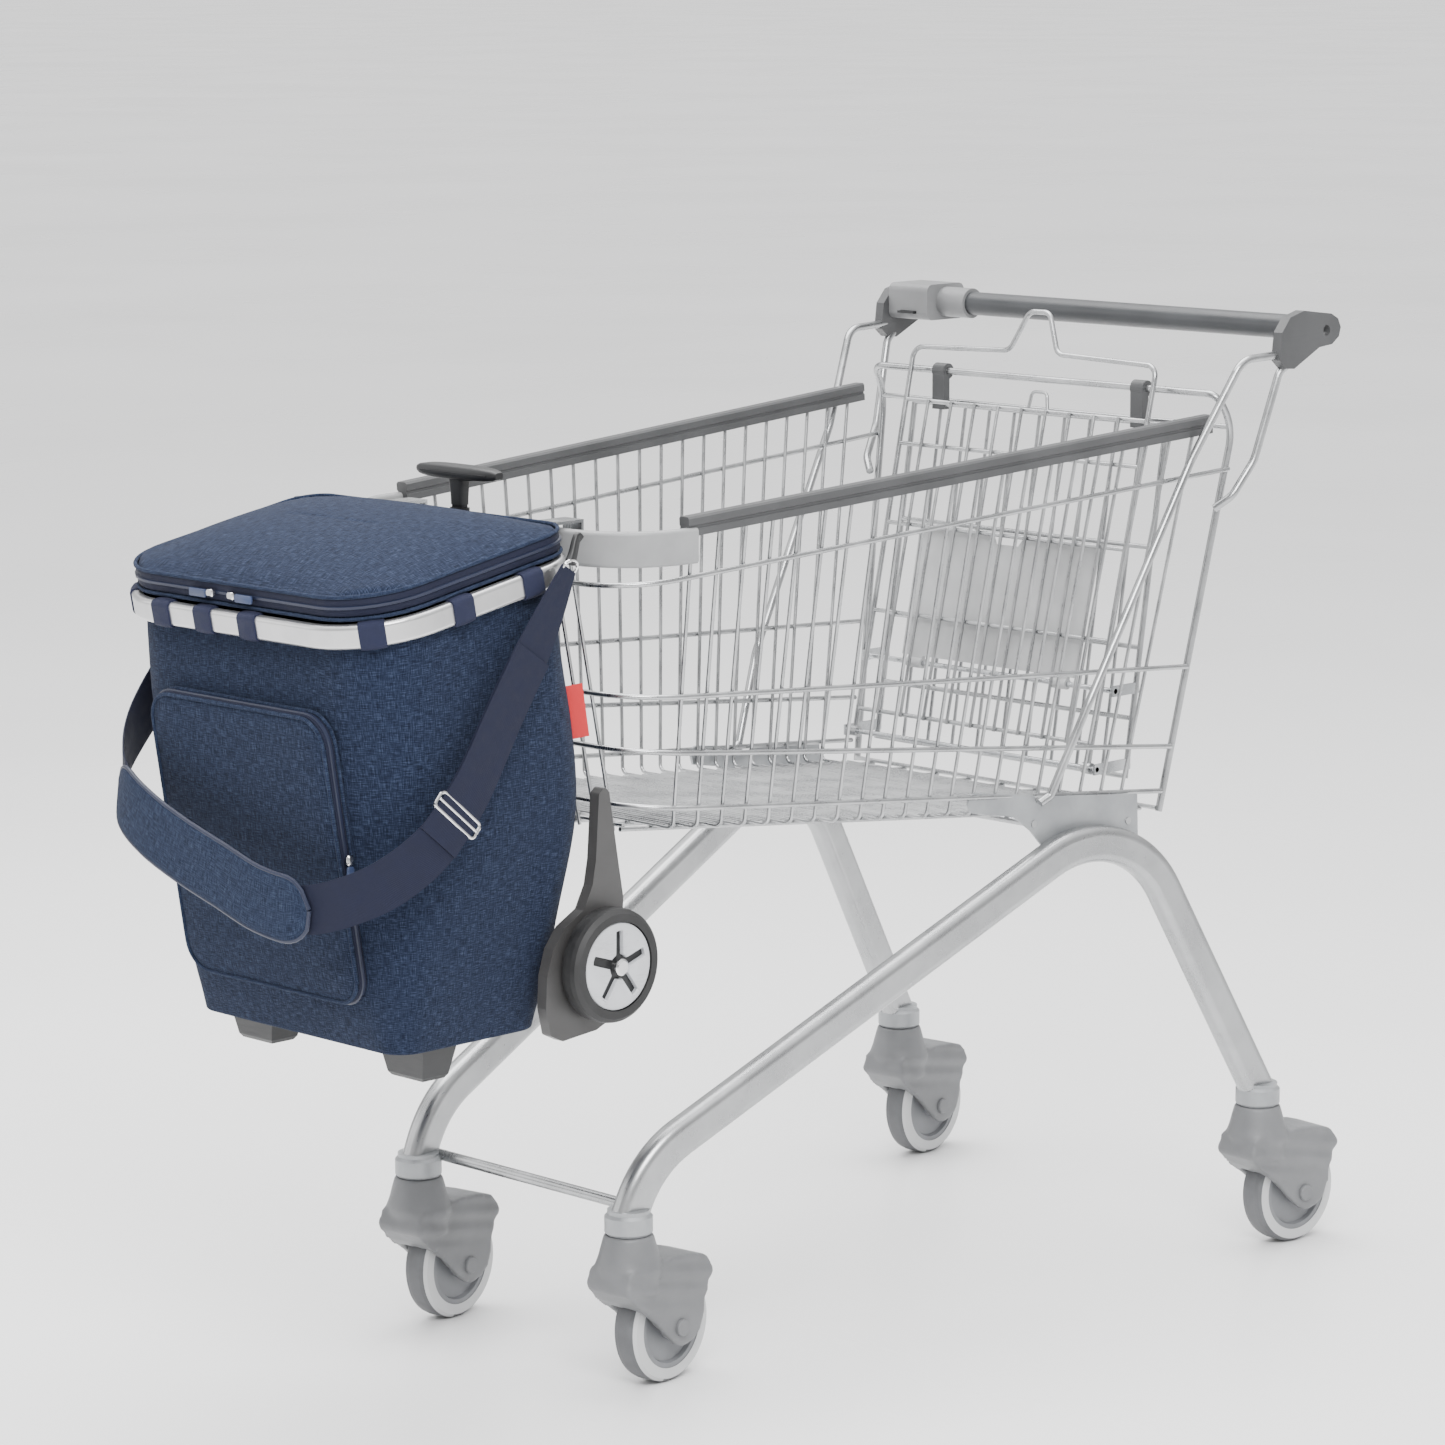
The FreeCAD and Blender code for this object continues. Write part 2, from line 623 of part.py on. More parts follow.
handle_y, handle_z = float(d.handle_pos), float(d.handle_height)
tube_part("handle_bar", d.handle_dia / 2, d.handle_wall, d.handle_half * 2,
          Vector(-float(d.handle_half), handle_y, handle_z), Vector(1, 0, 0))
bracket_hole = (630, 1038)
bracket_outline = [(548, 1010), (560, 1000), (574, 999), (618, 1020), (640, 1022), (652, 1030),
                   (655, 1040), (650, 1050), (638, 1056), (590, 1062), (566, 1056), (552, 1040)]
brackets = []
for side, name in ((1, "left"), (-1, "right")):
    inner = float(d.handle_half) if side > 0 else -float(d.handle_half) - float(d.bracket_thickness)
    brackets.append(plate_part(name + "_handle_bracket", "YZ_Plane", bracket_outline,
                               d.bracket_thickness, Placement(Vector(inner, 0, 0), Rotation()),
                               [bracket_hole + (d.bracket_hole_dia / 2,)]))
group_part("handle_brackets", brackets)
stay_radius = float(d.stay_dia) / 2
front_stay = [(299, 572, 1016), (296, 496, 1013), (273, 438, 905), (254, 296, 655),
              (238, 252, 556), (234, 240, 549)]
back_stay = [(301, 586, 1012), (296, 560, 996), (286, 531, 900), (277, 505, 862), (261, 494, 848)]
stays = []
for side, name in ((1, "left"), (-1, "right")):
    for points, bends, place in ((front_stay, [26.0, 40.0, 60.0, 5.0], "front"),
                                 (back_stay, [16.0, 40.0, 22.0], "back")):
        path = [(side * x, y, z) for x, y, z in points]
        stays.append(shape_part("%s_%s_stay" % (name, place), bent_wire(path, stay_radius, bends)))
group_part("handle_stays", stays)

lock_front, lock_back, lock_inner, lock_outer = 560.0, 624.0, -232.0, -293.6
lock_low, lock_high = 1022.0, 1064.0
coin_slot = (26.0, 3.4)
coin_slot_height = 1031.0


def coin_lock():
    """Housing clamped on the bar, with a flat slot for the coin drawer in its front."""
    block = Part.makeBox(lock_inner - lock_outer, lock_back - lock_front, lock_high - lock_low,
                         Vector(lock_outer, lock_front, lock_low))
    block = block.makeFillet(9, [e for e in block.Edges if abs(e.tangentAt(0).x) > 0.9])
    sleeve = Part.makeCylinder(float(d.handle_dia) / 2 + 4, 42, Vector(lock_inner, handle_y, handle_z),
                               Vector(1, 0, 0))
    bar = Part.makeCylinder(float(d.handle_dia) / 2, 200, Vector(-300, handle_y, handle_z),
                            Vector(1, 0, 0))
    slot = Part.makeBox(coin_slot[0], 24, coin_slot[1],
                        Vector(-262 - coin_slot[0] / 2, lock_front - 1,
                               coin_slot_height - coin_slot[1] / 2))
    return block.fuse(sleeve).cut([bar, slot])


shape_part("coin_lock_body", coin_lock())
coin_drawer = doc.addObject("Part::Box", "coin_drawer")
for name, value in (("Length", coin_slot[0] - 0.8), ("Width", 28.0), ("Height", coin_slot[1] - 0.8)):
    bind(coin_drawer, name, value)
keep(coin_drawer, "coin_drawer", Placement(
    Vector(-262 - coin_slot[0] / 2 + 0.4, lock_front - 5.6, coin_slot_height - coin_slot[1] / 2 + 0.4),
    Rotation()))


# ---- back gate: swings in from the hinge line; it carries the folding child seat ----

gate_half = float(d.gate_half)
seat_pivot = Vector(0, float(d.seat_pivot_pos), float(d.seat_pivot_height))
panel_pivot = Vector(0, 412, 646)
gate_wire, seat_wire, link_radius = 2.8, 3.0, 3.0


def gate_line(height):
    return 495 + (height - 935) * 0.163


def seat_line(height):
    return seat_pivot.y + (height - seat_pivot.z) * 0.2385


def gate_shape():
    """Welded grid with a small pull loop."""
    top, low = 935, 548
    wires = []
    for height in (top, 800, 690, 612, low):
        wires.append(straight_wire((-gate_half, gate_line(height), height),
                                   (gate_half, gate_line(height), height), gate_wire))
    for i in range(11):
        x = lerp(-gate_half, gate_half, i / 10)
        radius = gate_wire + 0.5 if i in (0, 10) else rib_radius
        behind = 0 if i in (0, 10) else gate_wire + rib_radius - weld_bite
        wires.append(straight_wire((x, gate_line(low - 2) + behind, low - 2),
                                   (x, gate_line(top + 2) + behind, top + 2), radius))
    wires.append(bent_wire([(-15, gate_line(top), top), (-11, gate_line(958), 958),
                            (11, gate_line(958), 958), (15, gate_line(top), top)], 2.0, 6.0))
    return weld(wires)


shape_part("back_gate", gate_shape())


def hinge_clips():
    """Plastic eyes that turn on the arch's top bar and hold the gate's top wire."""
    clips = []
    for x in (-150, 150):
        eye = Part.makeCylinder(9, 18, hinge_line + Vector(x - 9, 0, 0), Vector(1, 0, 0))
        web = Part.makeBox(18, 10, 42, Vector(x - 9, hinge_line.y - 8, hinge_line.z - 44))
        pin = Part.makeCylinder(post_radius + float(d.running_gap), 40,
                                hinge_line + Vector(x - 20, 0, 0), Vector(1, 0, 0))
        clips.append(eye.fuse(web).cut(pin).removeSplitter())
    return Part.Compound(clips)


shape_part("gate_hinge_clips", hinge_clips())
links = [rod_part(name, link_radius, 2 * d.gate_half + 4, pivot - Vector(gate_half + 2, 0, 0),
                  Vector(1, 0, 0))
         for name, pivot in (("seat_pivot_rod", seat_pivot), ("seat_panel_rod", panel_pivot))]


def gate_arms():
    """Flat links that carry the two pivot rods off the gate's side wires."""
    arms = []
    for pivot in (seat_pivot, panel_pivot):
        reach = gate_line(pivot.z) - pivot.y + 4
        for x in (-gate_half - 2, gate_half - 1):
            arms.append(Part.makeBox(3, reach + 4, 12, Vector(x, pivot.y - 4, pivot.z - 6)))
    return Part.Compound(arms)


group_part("gate_pivot_rods", links + [shape_part("gate_arms", gate_arms())])


def seat_frame():
    """Backrest: outer wire with a tall pull loop, a grid inside it, eyes on the pivot rod."""
    foot = seat_pivot.z + 4.5

    def at(x, height):
        return (x, seat_line(height), height)
    outer = [at(-178, foot), at(-183, 1000), at(-36, 1004), at(-15, 1049),
             at(15, 1049), at(36, 1004), at(183, 1000), at(178, foot)]
    wires = [bent_wire(outer, seat_wire, [14.0, 14.0, 12.0, 12.0, 14.0, 14.0])]
    for height in (588, 700, 800, 890, 940):
        wires.append(straight_wire(at(-180, height), at(180, height), 2.5))
    front = 2.5 + rib_radius - weld_bite
    for i in range(1, 10):
        x = lerp(-180, 180, i / 10)
        wires.append(straight_wire((x, seat_line(586) - front, 586),
                                   (x, seat_line(942) - front, 942), rib_radius))
    for x in (-178, 178):
        wires.append(Part.makeCylinder(link_radius + 3.4, 12, seat_pivot + Vector(x - 6, 0, 0),
                                       Vector(1, 0, 0)))
    hole = Part.makeCylinder(link_radius + float(d.running_gap), 500,
                             seat_pivot - Vector(250, 0, 0), Vector(1, 0, 0))
    return weld(wires).cut(hole)


shape_part("seat_back_frame", seat_frame())


def seat_panel():
    """Moulded panel with a hand notch at the top and two eyes on its own rod."""
    half, length = float(d.seat_panel_width) / 2, float(d.seat_panel_length)
    thickness = float(d.seat_panel_thickness)
    outline = [(-half + 4, 8), (half - 4, 8), (half, length + 2), (half - 3, length + 6), (24, length + 6),
               (18, length - 4), (-18, length - 4), (-24, length + 6), (-half + 3, length + 6),
               (-half, length + 2)]
    points = [Vector(x, -thickness / 2, z) for x, z in outline]
    sheet_face = Part.Face(Part.makePolygon(points + points[:1]))
    pieces = [sheet_face.extrude(Vector(0, thickness, 0))]
    for x in (-110, 110):
        pieces.append(Part.makeCylinder(link_radius + 3, 22, Vector(x - 11, 0, 0), Vector(1, 0, 0)))
        pieces.append(Part.makeBox(22, thickness, 10, Vector(x - 11, -thickness / 2, 3)))
    hole = Part.makeCylinder(link_radius + float(d.running_gap), 400, Vector(-200, 0, 0), Vector(1, 0, 0))
    return pieces[0].multiFuse(pieces[1:]).cut(hole).removeSplitter()


shape_part("seat_panel", seat_panel(),
           Placement(panel_pivot, Rotation(Vector(1, 0, 0), -math.degrees(math.atan(0.2385)))))


# ---- bag: fabric body and lid on an oval alloy ring, pocket, strap, base, wheels, pole ----

bag_half, bag_front, bag_back = float(d.bag_half), float(d.bag_front), float(d.bag_back)
rim_slope = math.tan(math.radians(float(d.bag_rim_slope)))
rim_front_height = float(d.bag_rim_front_height)
ring_front, ring_back, ring_half = bag_front - 14, bag_back - 1, bag_half + 8
front_bend, back_bend = 88.0, 46.0


def rim_height(y, lift=0.0):
    """Height of the ring's middle plane, which climbs towards the back."""
    return rim_front_height + lift + (y - ring_front) * rim_slope


def outline_wire(half, front, back, bend_front, bend_back, height):
    """A closed plan outline with round corners; height is a number or a function of y."""
    level = height if callable(height) else (lambda y: height)
    bends = [(half, front, bend_front), (half, back, bend_back),
             (-half, back, bend_back), (-half, front, bend_front)]
    edges = []
    for i in range(4):
        x0, y0, r0 = bends[i]
        x1, y1, r1 = bends[(i + 1) % 4]
        x2, y2, _ = bends[(i + 2) % 4]
        ux, uy = (x1 > x0) - (x1 < x0), (y1 > y0) - (y1 < y0)
        vx, vy = (x2 > x1) - (x2 < x1), (y2 > y1) - (y2 < y1)
        k = r1 * (1 - math.sqrt(0.5))
        points = [(x0 + ux * r0, y0 + uy * r0), (x1 - ux * r1, y1 - uy * r1),
                  (x1 + (vx - ux) * k, y1 + (vy - uy) * k), (x1 + vx * r1, y1 + vy * r1)]
        a, b, m, c = [Vector(x, y, level(y)) for x, y in points]
        edges.append(Part.LineSegment(a, b).toShape())
        if callable(height):
            edges.append(ellipse_like(b, Vector(x1, y1, level(y1)), c))
        else:
            edges.append(Part.Arc(b, m, c).toShape())
    return Part.Wire(edges)


def ellipse_like(start, corner, end):
    """A corner curve that is tangent to both sides and stays in a sloping plane."""
    reach = 0.5523
    curve = Part.BezierCurve()
    curve.setPoles([start, start + (corner - start) * reach, end + (corner - end) * reach, end])
    return curve.toShape()


bag_levels = [outline_wire(158, -607, -418, 26, 26, float(d.bag_floor_height)),
              outline_wire(176, -622, -402, 34, 34, 460),
              outline_wire(196, -645, bag_back, 48, 40, 640),
              outline_wire(bag_half, bag_front, bag_back, 74, 42, lambda y: rim_height(y, 10))]
bag_room_levels = [outline_wire(150, -598, -424, 22, 22, float(d.bag_floor_height) + 8),
                   outline_wire(170, -616, -408, 30, 30, 460),
                   outline_wire(190, -639, bag_back - 6, 44, 36, 640),
                   outline_wire(bag_half - 6, bag_front + 6, bag_back - 6, 70, 38,
                                lambda y: rim_height(y, 12))]
bag_room = Part.makeLoft(bag_room_levels, True, True)
shape_part("bag_body", Part.makeLoft(bag_levels, True, True).cut(bag_room))

ring_outline = outline_wire(ring_half, ring_front, ring_back, front_bend, back_bend, 0)
ring_room = outline_wire(ring_half - float(d.bag_tube_thickness), ring_front + float(d.bag_tube_thickness),
                         ring_back - float(d.bag_tube_thickness), front_bend - 12, back_bend - 12, 0)
tube_height = float(d.bag_tube_height)
ring = Part.Face(ring_outline).extrude(Vector(0, 0, tube_height))
ring = ring.cut(Part.Face(ring_room).extrude(Vector(0, 0, tube_height)))
ring = ring.makeFillet(4.5, [e for e in ring.Edges if abs(e.tangentAt(0).z) < 0.5])
rim_turn = Rotation(Vector(1, 0, 0), float(d.bag_rim_slope))
ring_tilt = Placement(Vector(0, ring_front, rim_front_height), rim_turn)
ring_seat = ring_tilt.multiply(Placement(Vector(0, -ring_front, -tube_height / 2), Rotation()))
shape_part("bag_frame_ring", ring, ring_seat)

loop_width, loop_height, loop_thickness = 26.0, 27.0, 17.0
loop_places = [(-105, ring_front + 6, 0), (-40, ring_front + 6, 0), (28, ring_front + 6, 0),
               (ring_half - 30, ring_front + 31, 45), (ring_half - 6, -560, 90),
               (ring_half - 6, -470, 90), (-ring_half + 30, ring_front + 31, -45),
               (-ring_half + 6, -560, 90), (-ring_half + 6, -470, 90)]
loops = []
for x, y, turn in loop_places:
    loop = Part.makeBox(loop_width, loop_thickness, loop_height,
                        Vector(-loop_width / 2, -loop_thickness / 2, -loop_height / 2))
    loop = loop.makeFillet(3, [e for e in loop.Edges if abs(e.tangentAt(0).x) > 0.9])
    loop.Placement = Placement(Vector(x, y, rim_height(y)),
                               rim_turn.multiply(Rotation(Vector(0, 0, 1), turn)))
    loops.append(loop)
shape_part("bag_frame_loops", Part.Compound(loops))

lid_low, lid_rim, lid_crown, lid_skin = 14.0, 42.0, 56.0, 8.0


def lid_slab(inset, low, high):
    """One flat layer of the lid, in the ring's own level frame."""
    outline = outline_wire(bag_half - 2 - inset, ring_front + 12 + inset, bag_back - 2 - inset,
                           front_bend - 16 - inset / 2, 34 - inset / 2, 0)
    layer = Part.Face(outline).extrude(Vector(0, 0, high - low))
    layer.translate(Vector(0, 0, low))
    return layer


lid = lid_slab(0, lid_low, lid_rim).fuse(lid_slab(30, lid_rim, lid_crown))
lid_room = lid_slab(lid_skin, lid_low - 1, lid_rim - lid_skin).fuse(
    lid_slab(30 + lid_skin, lid_rim - lid_skin, lid_crown - lid_skin))
lid_seat = ring_tilt.multiply(Placement(Vector(0, -ring_front, 0), Rotation()))
shape_part("bag_lid", lid.cut(lid_room).removeSplitter(), lid_seat)

pocket_turn = math.degrees(math.atan2(46, 291))
pocket_outline = [(-132, 0), (132, 0), (132, 292), (-132, 292)]
plate_part("bag_pocket", "XZ_Plane", pocket_outline, 22,
           Placement(Vector(0, -613, 453), Rotation(Vector(1, 0, 0), pocket_turn)),
           fillet=28.0, fillet_test=lambda e: abs(e.tangentAt(0).y) > 0.9)

strap_stations = [  # x, y, z of the band's middle and the compass angle its face looks to
    (217, -432, 868, 0), (219, -470, 810, 0), (220, -520, 738, 0), (221, -566, 668, -5),
    (221, -610, 622, -18), (208, -655, 590, -40), (178, -688, 570, -62), (133, -704, 558, -80),
    (80, -708, 562, -90), (20, -708, 578, -90), (-40, -707, 594, -90), (-96, -704, 612, -92),
    (-146, -696, 632, -104), (-186, -672, 656, -130), (-210, -632, 690, -160),
    (-220, -580, 742, -178), (-220, -520, 800, -180), (-218, -464, 850, -180), (-217, -432, 872, -180)]


def band(stations, width, thickness):
    """A flat band lofted through its stations."""
    sections = []
    for i, (x, y, z, look) in enumerate(stations):
        before, after = stations[max(i - 1, 0)], stations[min(i + 1, len(stations) - 1)]
        along = (Vector(*after[:3]) - Vector(*before[:3])).normalize()
        facing = Vector(math.cos(math.radians(look)), math.sin(math.radians(look)), 0)
        across = facing.cross(along).normalize()
        facing = along.cross(across).normalize()
        middle = Vector(x, y, z)
        ring_points = [middle + across * (a * width / 2) + facing * (b * thickness / 2)
                       for a, b in ((-1, -1), (1, -1), (1, 1), (-1, 1))]
        sections.append(Part.makePolygon(ring_points + ring_points[:1]))
    spans = [Part.makeLoft([a, b], True, True) for a, b in zip(sections, sections[1:])]
    return spans[0].multiFuse(spans[1:])


shape_part("bag_strap", band(strap_stations, float(d.strap_width), float(d.strap_thickness)))
pad_stations = [(x, y - 5.5, z, look) if look > -100 else
                (x + 5.5 * math.cos(math.radians(look)), y + 5.5 * math.sin(math.radians(look)), z, look)
                for x, y, z, look in strap_stations[7:14]]
shape_part("bag_strap_pad", band(pad_stations, 66.0, 7.0))


def hook_ends():
    """Rings and snap hooks that join the strap to the ring's back corners."""
    pieces = []
    for side in (1, -1):
        hook = Part.makeBox(7, 16, 30, Vector(-3.5, -8, -15))
        hook = hook.makeFillet(3, hook.Edges)
        hook.Placement = Placement(Vector(side * 213, -424, 884), Rotation(Vector(1, 0, 0), -30))
        pieces.append(hook)
    slider = Part.makeBox(7.5, 60, 9, Vector(-3.7, -30, -4.5))
    slider = slider.makeFillet(2.5, slider.Edges)
    slider.Placement = Placement(Vector(221, -560, 676), Rotation(Vector(1, 0, 0), 38))
    pieces.append(slider)
    return Part.Compound(pieces)


shape_part("bag_strap_hardware", hook_ends())

bag_wheel_radius = float(d.bag_wheel_dia) / 2
wheel_y, wheel_z = float(d.bag_wheel_pos), float(d.bag_wheel_height)
bag_wheel_half = float(d.bag_wheel_half)
bracket_inner = bag_wheel_half - float(d.bag_wheel_width) / 2 - 15
bag_bracket_outline = [(-446, 402), (-430, 394), (-384, 398), (-350, 412), (-362, 452), (-352, 480),
                       (-347, 510), (-346, 528), (-352, 562), (-360, 610), (-364, 636), (-370, 643),
                       (-378, 636), (-383, 570), (-388, 545), (-400, 522), (-426, 508), (-442, 488),
                       (-450, 462), (-452, 430)]
wheel_brackets = []
for side, name in ((1, "left"), (-1, "right")):
    start = bracket_inner if side > 0 else -bracket_inner - 13
    wheel_brackets.append(plate_part("bag_wheel_bracket_" + name, "YZ_Plane", bag_bracket_outline, 13,
                                     Placement(Vector(start, 0, 0), Rotation()),
                                     fillet=4.0, fillet_test=lambda e: abs(e.tangentAt(0).x) > 0.9))
group_part("bag_wheel_brackets", wheel_brackets)

bag_axle_radius = 5.0
bag_hub_radius = bag_wheel_radius - 13
bag_half_width = d.bag_wheel_width / 2
bag_tyre_outline = [(bag_hub_radius, -bag_half_width), (d.bag_wheel_dia / 2 - 5, -bag_half_width),
                    (d.bag_wheel_dia / 2 - 1, -bag_half_width + 4),
                    (d.bag_wheel_dia / 2, -bag_half_width + 9),
                    (d.bag_wheel_dia / 2, bag_half_width - 9),
                    (d.bag_wheel_dia / 2 - 1, bag_half_width - 4),
                    (d.bag_wheel_dia / 2 - 5, bag_half_width), (bag_hub_radius, bag_half_width)]
bag_hub_outline = [(bag_axle_radius + 0.06, -bag_half_width), (14, -bag_half_width),
                   (16, -bag_half_width + 6),
                   (bag_hub_radius - 5, -bag_half_width + 6), (bag_hub_radius - 4, -bag_half_width + 1),
                   (bag_hub_radius, -bag_half_width + 1), (bag_hub_radius, bag_half_width - 4),
                   (bag_axle_radius + 0.06, bag_half_width - 4)]
star_slots, star_inner, star_outer = 5, 17.0, 36.0


def wheel_cap():
    """Domed cover disc with five tapering slots."""
    rim = bag_hub_radius - 1
    outline = [(9, -3.8), (rim, -3.8), (rim, -1.5), (rim - 6, 0.4), (12, 2.0), (9, 2.0)]
    points = [Vector(x, r, 0) for r, x in outline]
    disc = Part.Face(Part.makePolygon(points + points[:1])).revolve(Vector(), Vector(1, 0, 0), 360)
    cuts = []
    for i in range(star_slots):
        slot = [(-2.4, star_inner), (2.4, star_inner), (5.0, star_outer), (-5.0, star_outer)]
        points = [Vector(-10, y, z) for y, z in slot]
        cut = Part.Face(Part.makePolygon(points + points[:1])).extrude(Vector(20, 0, 0))
        cut.rotate(Vector(), Vector(1, 0, 0), 360.0 * i / star_slots)
        cuts.append(cut)
    return disc.cut(cuts)


cap = wheel_cap()
bolts = []
for side, name in ((1, "left"), (-1, "right")):
    turn = Rotation(Vector(0, 0, 1), 0 if side > 0 else 180)
    centre = Vector(side * bag_wheel_half, wheel_y, wheel_z)
    revolved_part("bag_tyre_" + name, bag_tyre_outline, Placement(centre, turn))
    revolved_part("bag_wheel_hub_" + name, bag_hub_outline, Placement(centre, turn))
    outer_face = float(bag_half_width)
    shape_part("bag_wheel_cap_" + name, cap.copy(),
               Placement(centre + Vector(side * (outer_face - 0.2), 0, 0), turn))
    inner_end = -(bag_wheel_half - bracket_inner) + 2
    outer_end = outer_face + 4.6
    bolt = [(0, inner_end), (bag_axle_radius, inner_end), (bag_axle_radius, outer_end - 1.8),
            (8.6, outer_end - 1.8), (8.6, outer_end), (6.6, outer_end + 1.6), (0, outer_end + 1.6)]
    bolts.append(revolved_part("bag_wheel_bolt_" + name, bolt, Placement(centre, turn)))
group_part("bag_wheel_bolts", bolts)

foot_top, foot_bottom = float(d.bag_floor_height), 365.0
foot_y = -547
feet = []
for x in (-116, 116):
    levels = []
    for z, half, depth in ((foot_top, 33, 22), (foot_bottom + 4, 26, 17), (foot_bottom, 23, 14)):
        corners = [Vector(x + a * half, foot_y + b * depth, z)
                   for a, b in ((-1, -1), (1, -1), (1, 1), (-1, 1))]
        levels.append(Part.makePolygon(corners + corners[:1]))
    feet.append(Part.makeLoft(levels, True, True))
shape_part("bag_feet", Part.Compound(feet))

# telescopic pole: outer sleeve on the back, sliding tube inside it, T grip on top
pole_y, pole_width, pole_depth = float(d.pole_pos), float(d.pole_width), float(d.pole_depth)
pole_low, pole_high, pole_wall = 440.0, 905.0, 1.8


def oval_bar(width, depth, low, high, corner):
    section = rounded_section(Vector(0, pole_y, low), Vector(1, 0, 0), Vector(0, 1, 0),
                              width, depth, corner)
    return Part.Face(section).extrude(Vector(0, 0, high - low))


sleeve_bar = oval_bar(pole_width, pole_depth, pole_low, pole_high, 6)
sleeve_room = oval_bar(pole_width - 2 * pole_wall, pole_depth - 2 * pole_wall,
                       pole_low - 1, pole_high + 1, 4.2)
shape_part("pole_sleeve", sleeve_bar.cut(sleeve_room))
slide_gap = 0.35
tube_inset = 2 * (pole_wall + slide_gap)
shape_part("pole_tube", oval_bar(pole_width - tube_inset, pole_depth - tube_inset,
                                 pole_low + 20, float(d.grip_height) - 8, 3.8))
grip_outline = [(-d.grip_length / 2, 2), (-d.grip_length / 2 + 4, -5), (-24, -9), (-13, -13), (-11, -33),
                (11, -33), (13, -13), (24, -9), (d.grip_length / 2 - 4, -5), (d.grip_length / 2, 2),
                (d.grip_length / 2 - 6, 8), (22, 10), (-22, 10), (-d.grip_length / 2 + 6, 8)]
plate_part("pole_grip", "XZ_Plane", grip_outline, 20,
           Placement(Vector(0, pole_y + 10, float(d.grip_height)), Rotation()),
           fillet=2.5, fillet_test=lambda e: abs(e.tangentAt(0).y) < 0.1)

# two hooks on the bag's back hang over the basket's bumper
hook_front, hook_back, hook_top = bumper_line - 9.6, bumper_line + 21.5, 897.0


def basket_hooks():
    hooks = []
    for x in (-118, 118):
        shape = [(hook_front - 3, 800), (hook_front, 800), (hook_front, hook_top), (hook_back, hook_top),
                 (hook_back, 862), (hook_back + 3, 862), (hook_back + 3, hook_top + 3),
                 (hook_front - 3, hook_top + 3)]
        points = [Vector(x - 14, y, z) for y, z in shape]
        strip = Part.Face(Part.makePolygon(points + points[:1])).extrude(Vector(28, 0, 0))
        depth = hook_front - (bag_back - 1)
        root = Part.makeBox(28, depth, 46, Vector(x - 14, bag_back - 1, 804))
        hooks.append(strip.fuse(root).removeSplitter())
    return Part.Compound(hooks)


shape_part("bag_hooks", basket_hooks())
clamp = Part.makeBox(46, bumper_line - 8 - bag_back, 30, Vector(-23, bag_back - 1, 812))
shoe = Part.makeBox(60, 34, 40, Vector(-30, bag_back - 2, 436))
shape_part("pole_brackets", Part.Compound(
    [block.cut(oval_bar(pole_width, pole_depth, pole_low, pole_high, 6)) for block in (clamp, shoe)]))


# ---- check and export ----

to_origin = Placement(Vector(0, float(d.origin_shift), 0), Rotation())
for part in parts:
    part.Placement = to_origin.multiply(part.Placement)
doc.recompute()
os.makedirs("parts", exist_ok=True)
for item in doc.Objects:
    if "Invalid" in item.State or "Error" in item.State:
        raise RuntimeError(item.Label + " did not compute")
for part in parts:
    if part.Shape.isNull() or not part.Shape.isValid() or not part.Shape.Solids:
        raise RuntimeError(part.Label + " has no valid solid")
for part in parts:
    part.Shape.exportStep("parts/%s.step" % part.Label)
print(len(parts), "sub-parts written")
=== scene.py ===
import json
import math
import bmesh
import bpy
from mathutils import Matrix, Vector

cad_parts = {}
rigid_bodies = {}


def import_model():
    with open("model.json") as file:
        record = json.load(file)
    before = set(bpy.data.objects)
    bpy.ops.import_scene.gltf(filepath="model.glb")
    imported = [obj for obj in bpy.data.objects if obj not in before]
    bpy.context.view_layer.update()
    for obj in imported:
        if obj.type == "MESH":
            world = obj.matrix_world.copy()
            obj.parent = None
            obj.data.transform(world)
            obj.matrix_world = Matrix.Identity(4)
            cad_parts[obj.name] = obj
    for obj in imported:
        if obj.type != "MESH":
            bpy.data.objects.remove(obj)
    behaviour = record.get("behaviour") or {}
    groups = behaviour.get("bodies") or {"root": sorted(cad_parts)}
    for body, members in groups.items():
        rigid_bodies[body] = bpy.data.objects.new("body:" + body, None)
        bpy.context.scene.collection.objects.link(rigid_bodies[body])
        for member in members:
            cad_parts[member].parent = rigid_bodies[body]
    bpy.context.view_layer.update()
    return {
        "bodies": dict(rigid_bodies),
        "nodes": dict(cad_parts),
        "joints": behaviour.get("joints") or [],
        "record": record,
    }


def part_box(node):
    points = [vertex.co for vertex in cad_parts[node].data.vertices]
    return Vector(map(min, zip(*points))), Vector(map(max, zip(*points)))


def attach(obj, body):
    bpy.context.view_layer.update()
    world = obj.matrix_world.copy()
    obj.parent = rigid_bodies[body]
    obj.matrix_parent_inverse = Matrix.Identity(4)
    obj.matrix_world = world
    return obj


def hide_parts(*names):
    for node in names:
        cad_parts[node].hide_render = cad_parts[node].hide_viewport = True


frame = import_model()
scene = bpy.context.scene
nodes = frame["nodes"]
mm = 0.001
barLow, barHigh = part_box("handle_bar")
middle = round((barLow.y + barHigh.y) / 2 / mm - 593, 1)    # chassis middle to the row origin, in mm


class Val:
    # one output socket; arithmetic on it adds Math nodes
    def __init__(self, mat, out):
        self.mat, self.out = mat, out

    def calc(self, operation, *values):
        return self.mat.add("ShaderNodeMath", dict(operation=operation), dict(enumerate(values)))

    def __add__(self, other):
        return self.calc("ADD", self, other)

    def __mul__(self, other):
        return self.calc("MULTIPLY", self, other)

    def above(self, limit):
        return self.calc("GREATER_THAN", self, limit)

    def pick(self, name):
        return Val(self.mat, self.out.node.outputs[name])


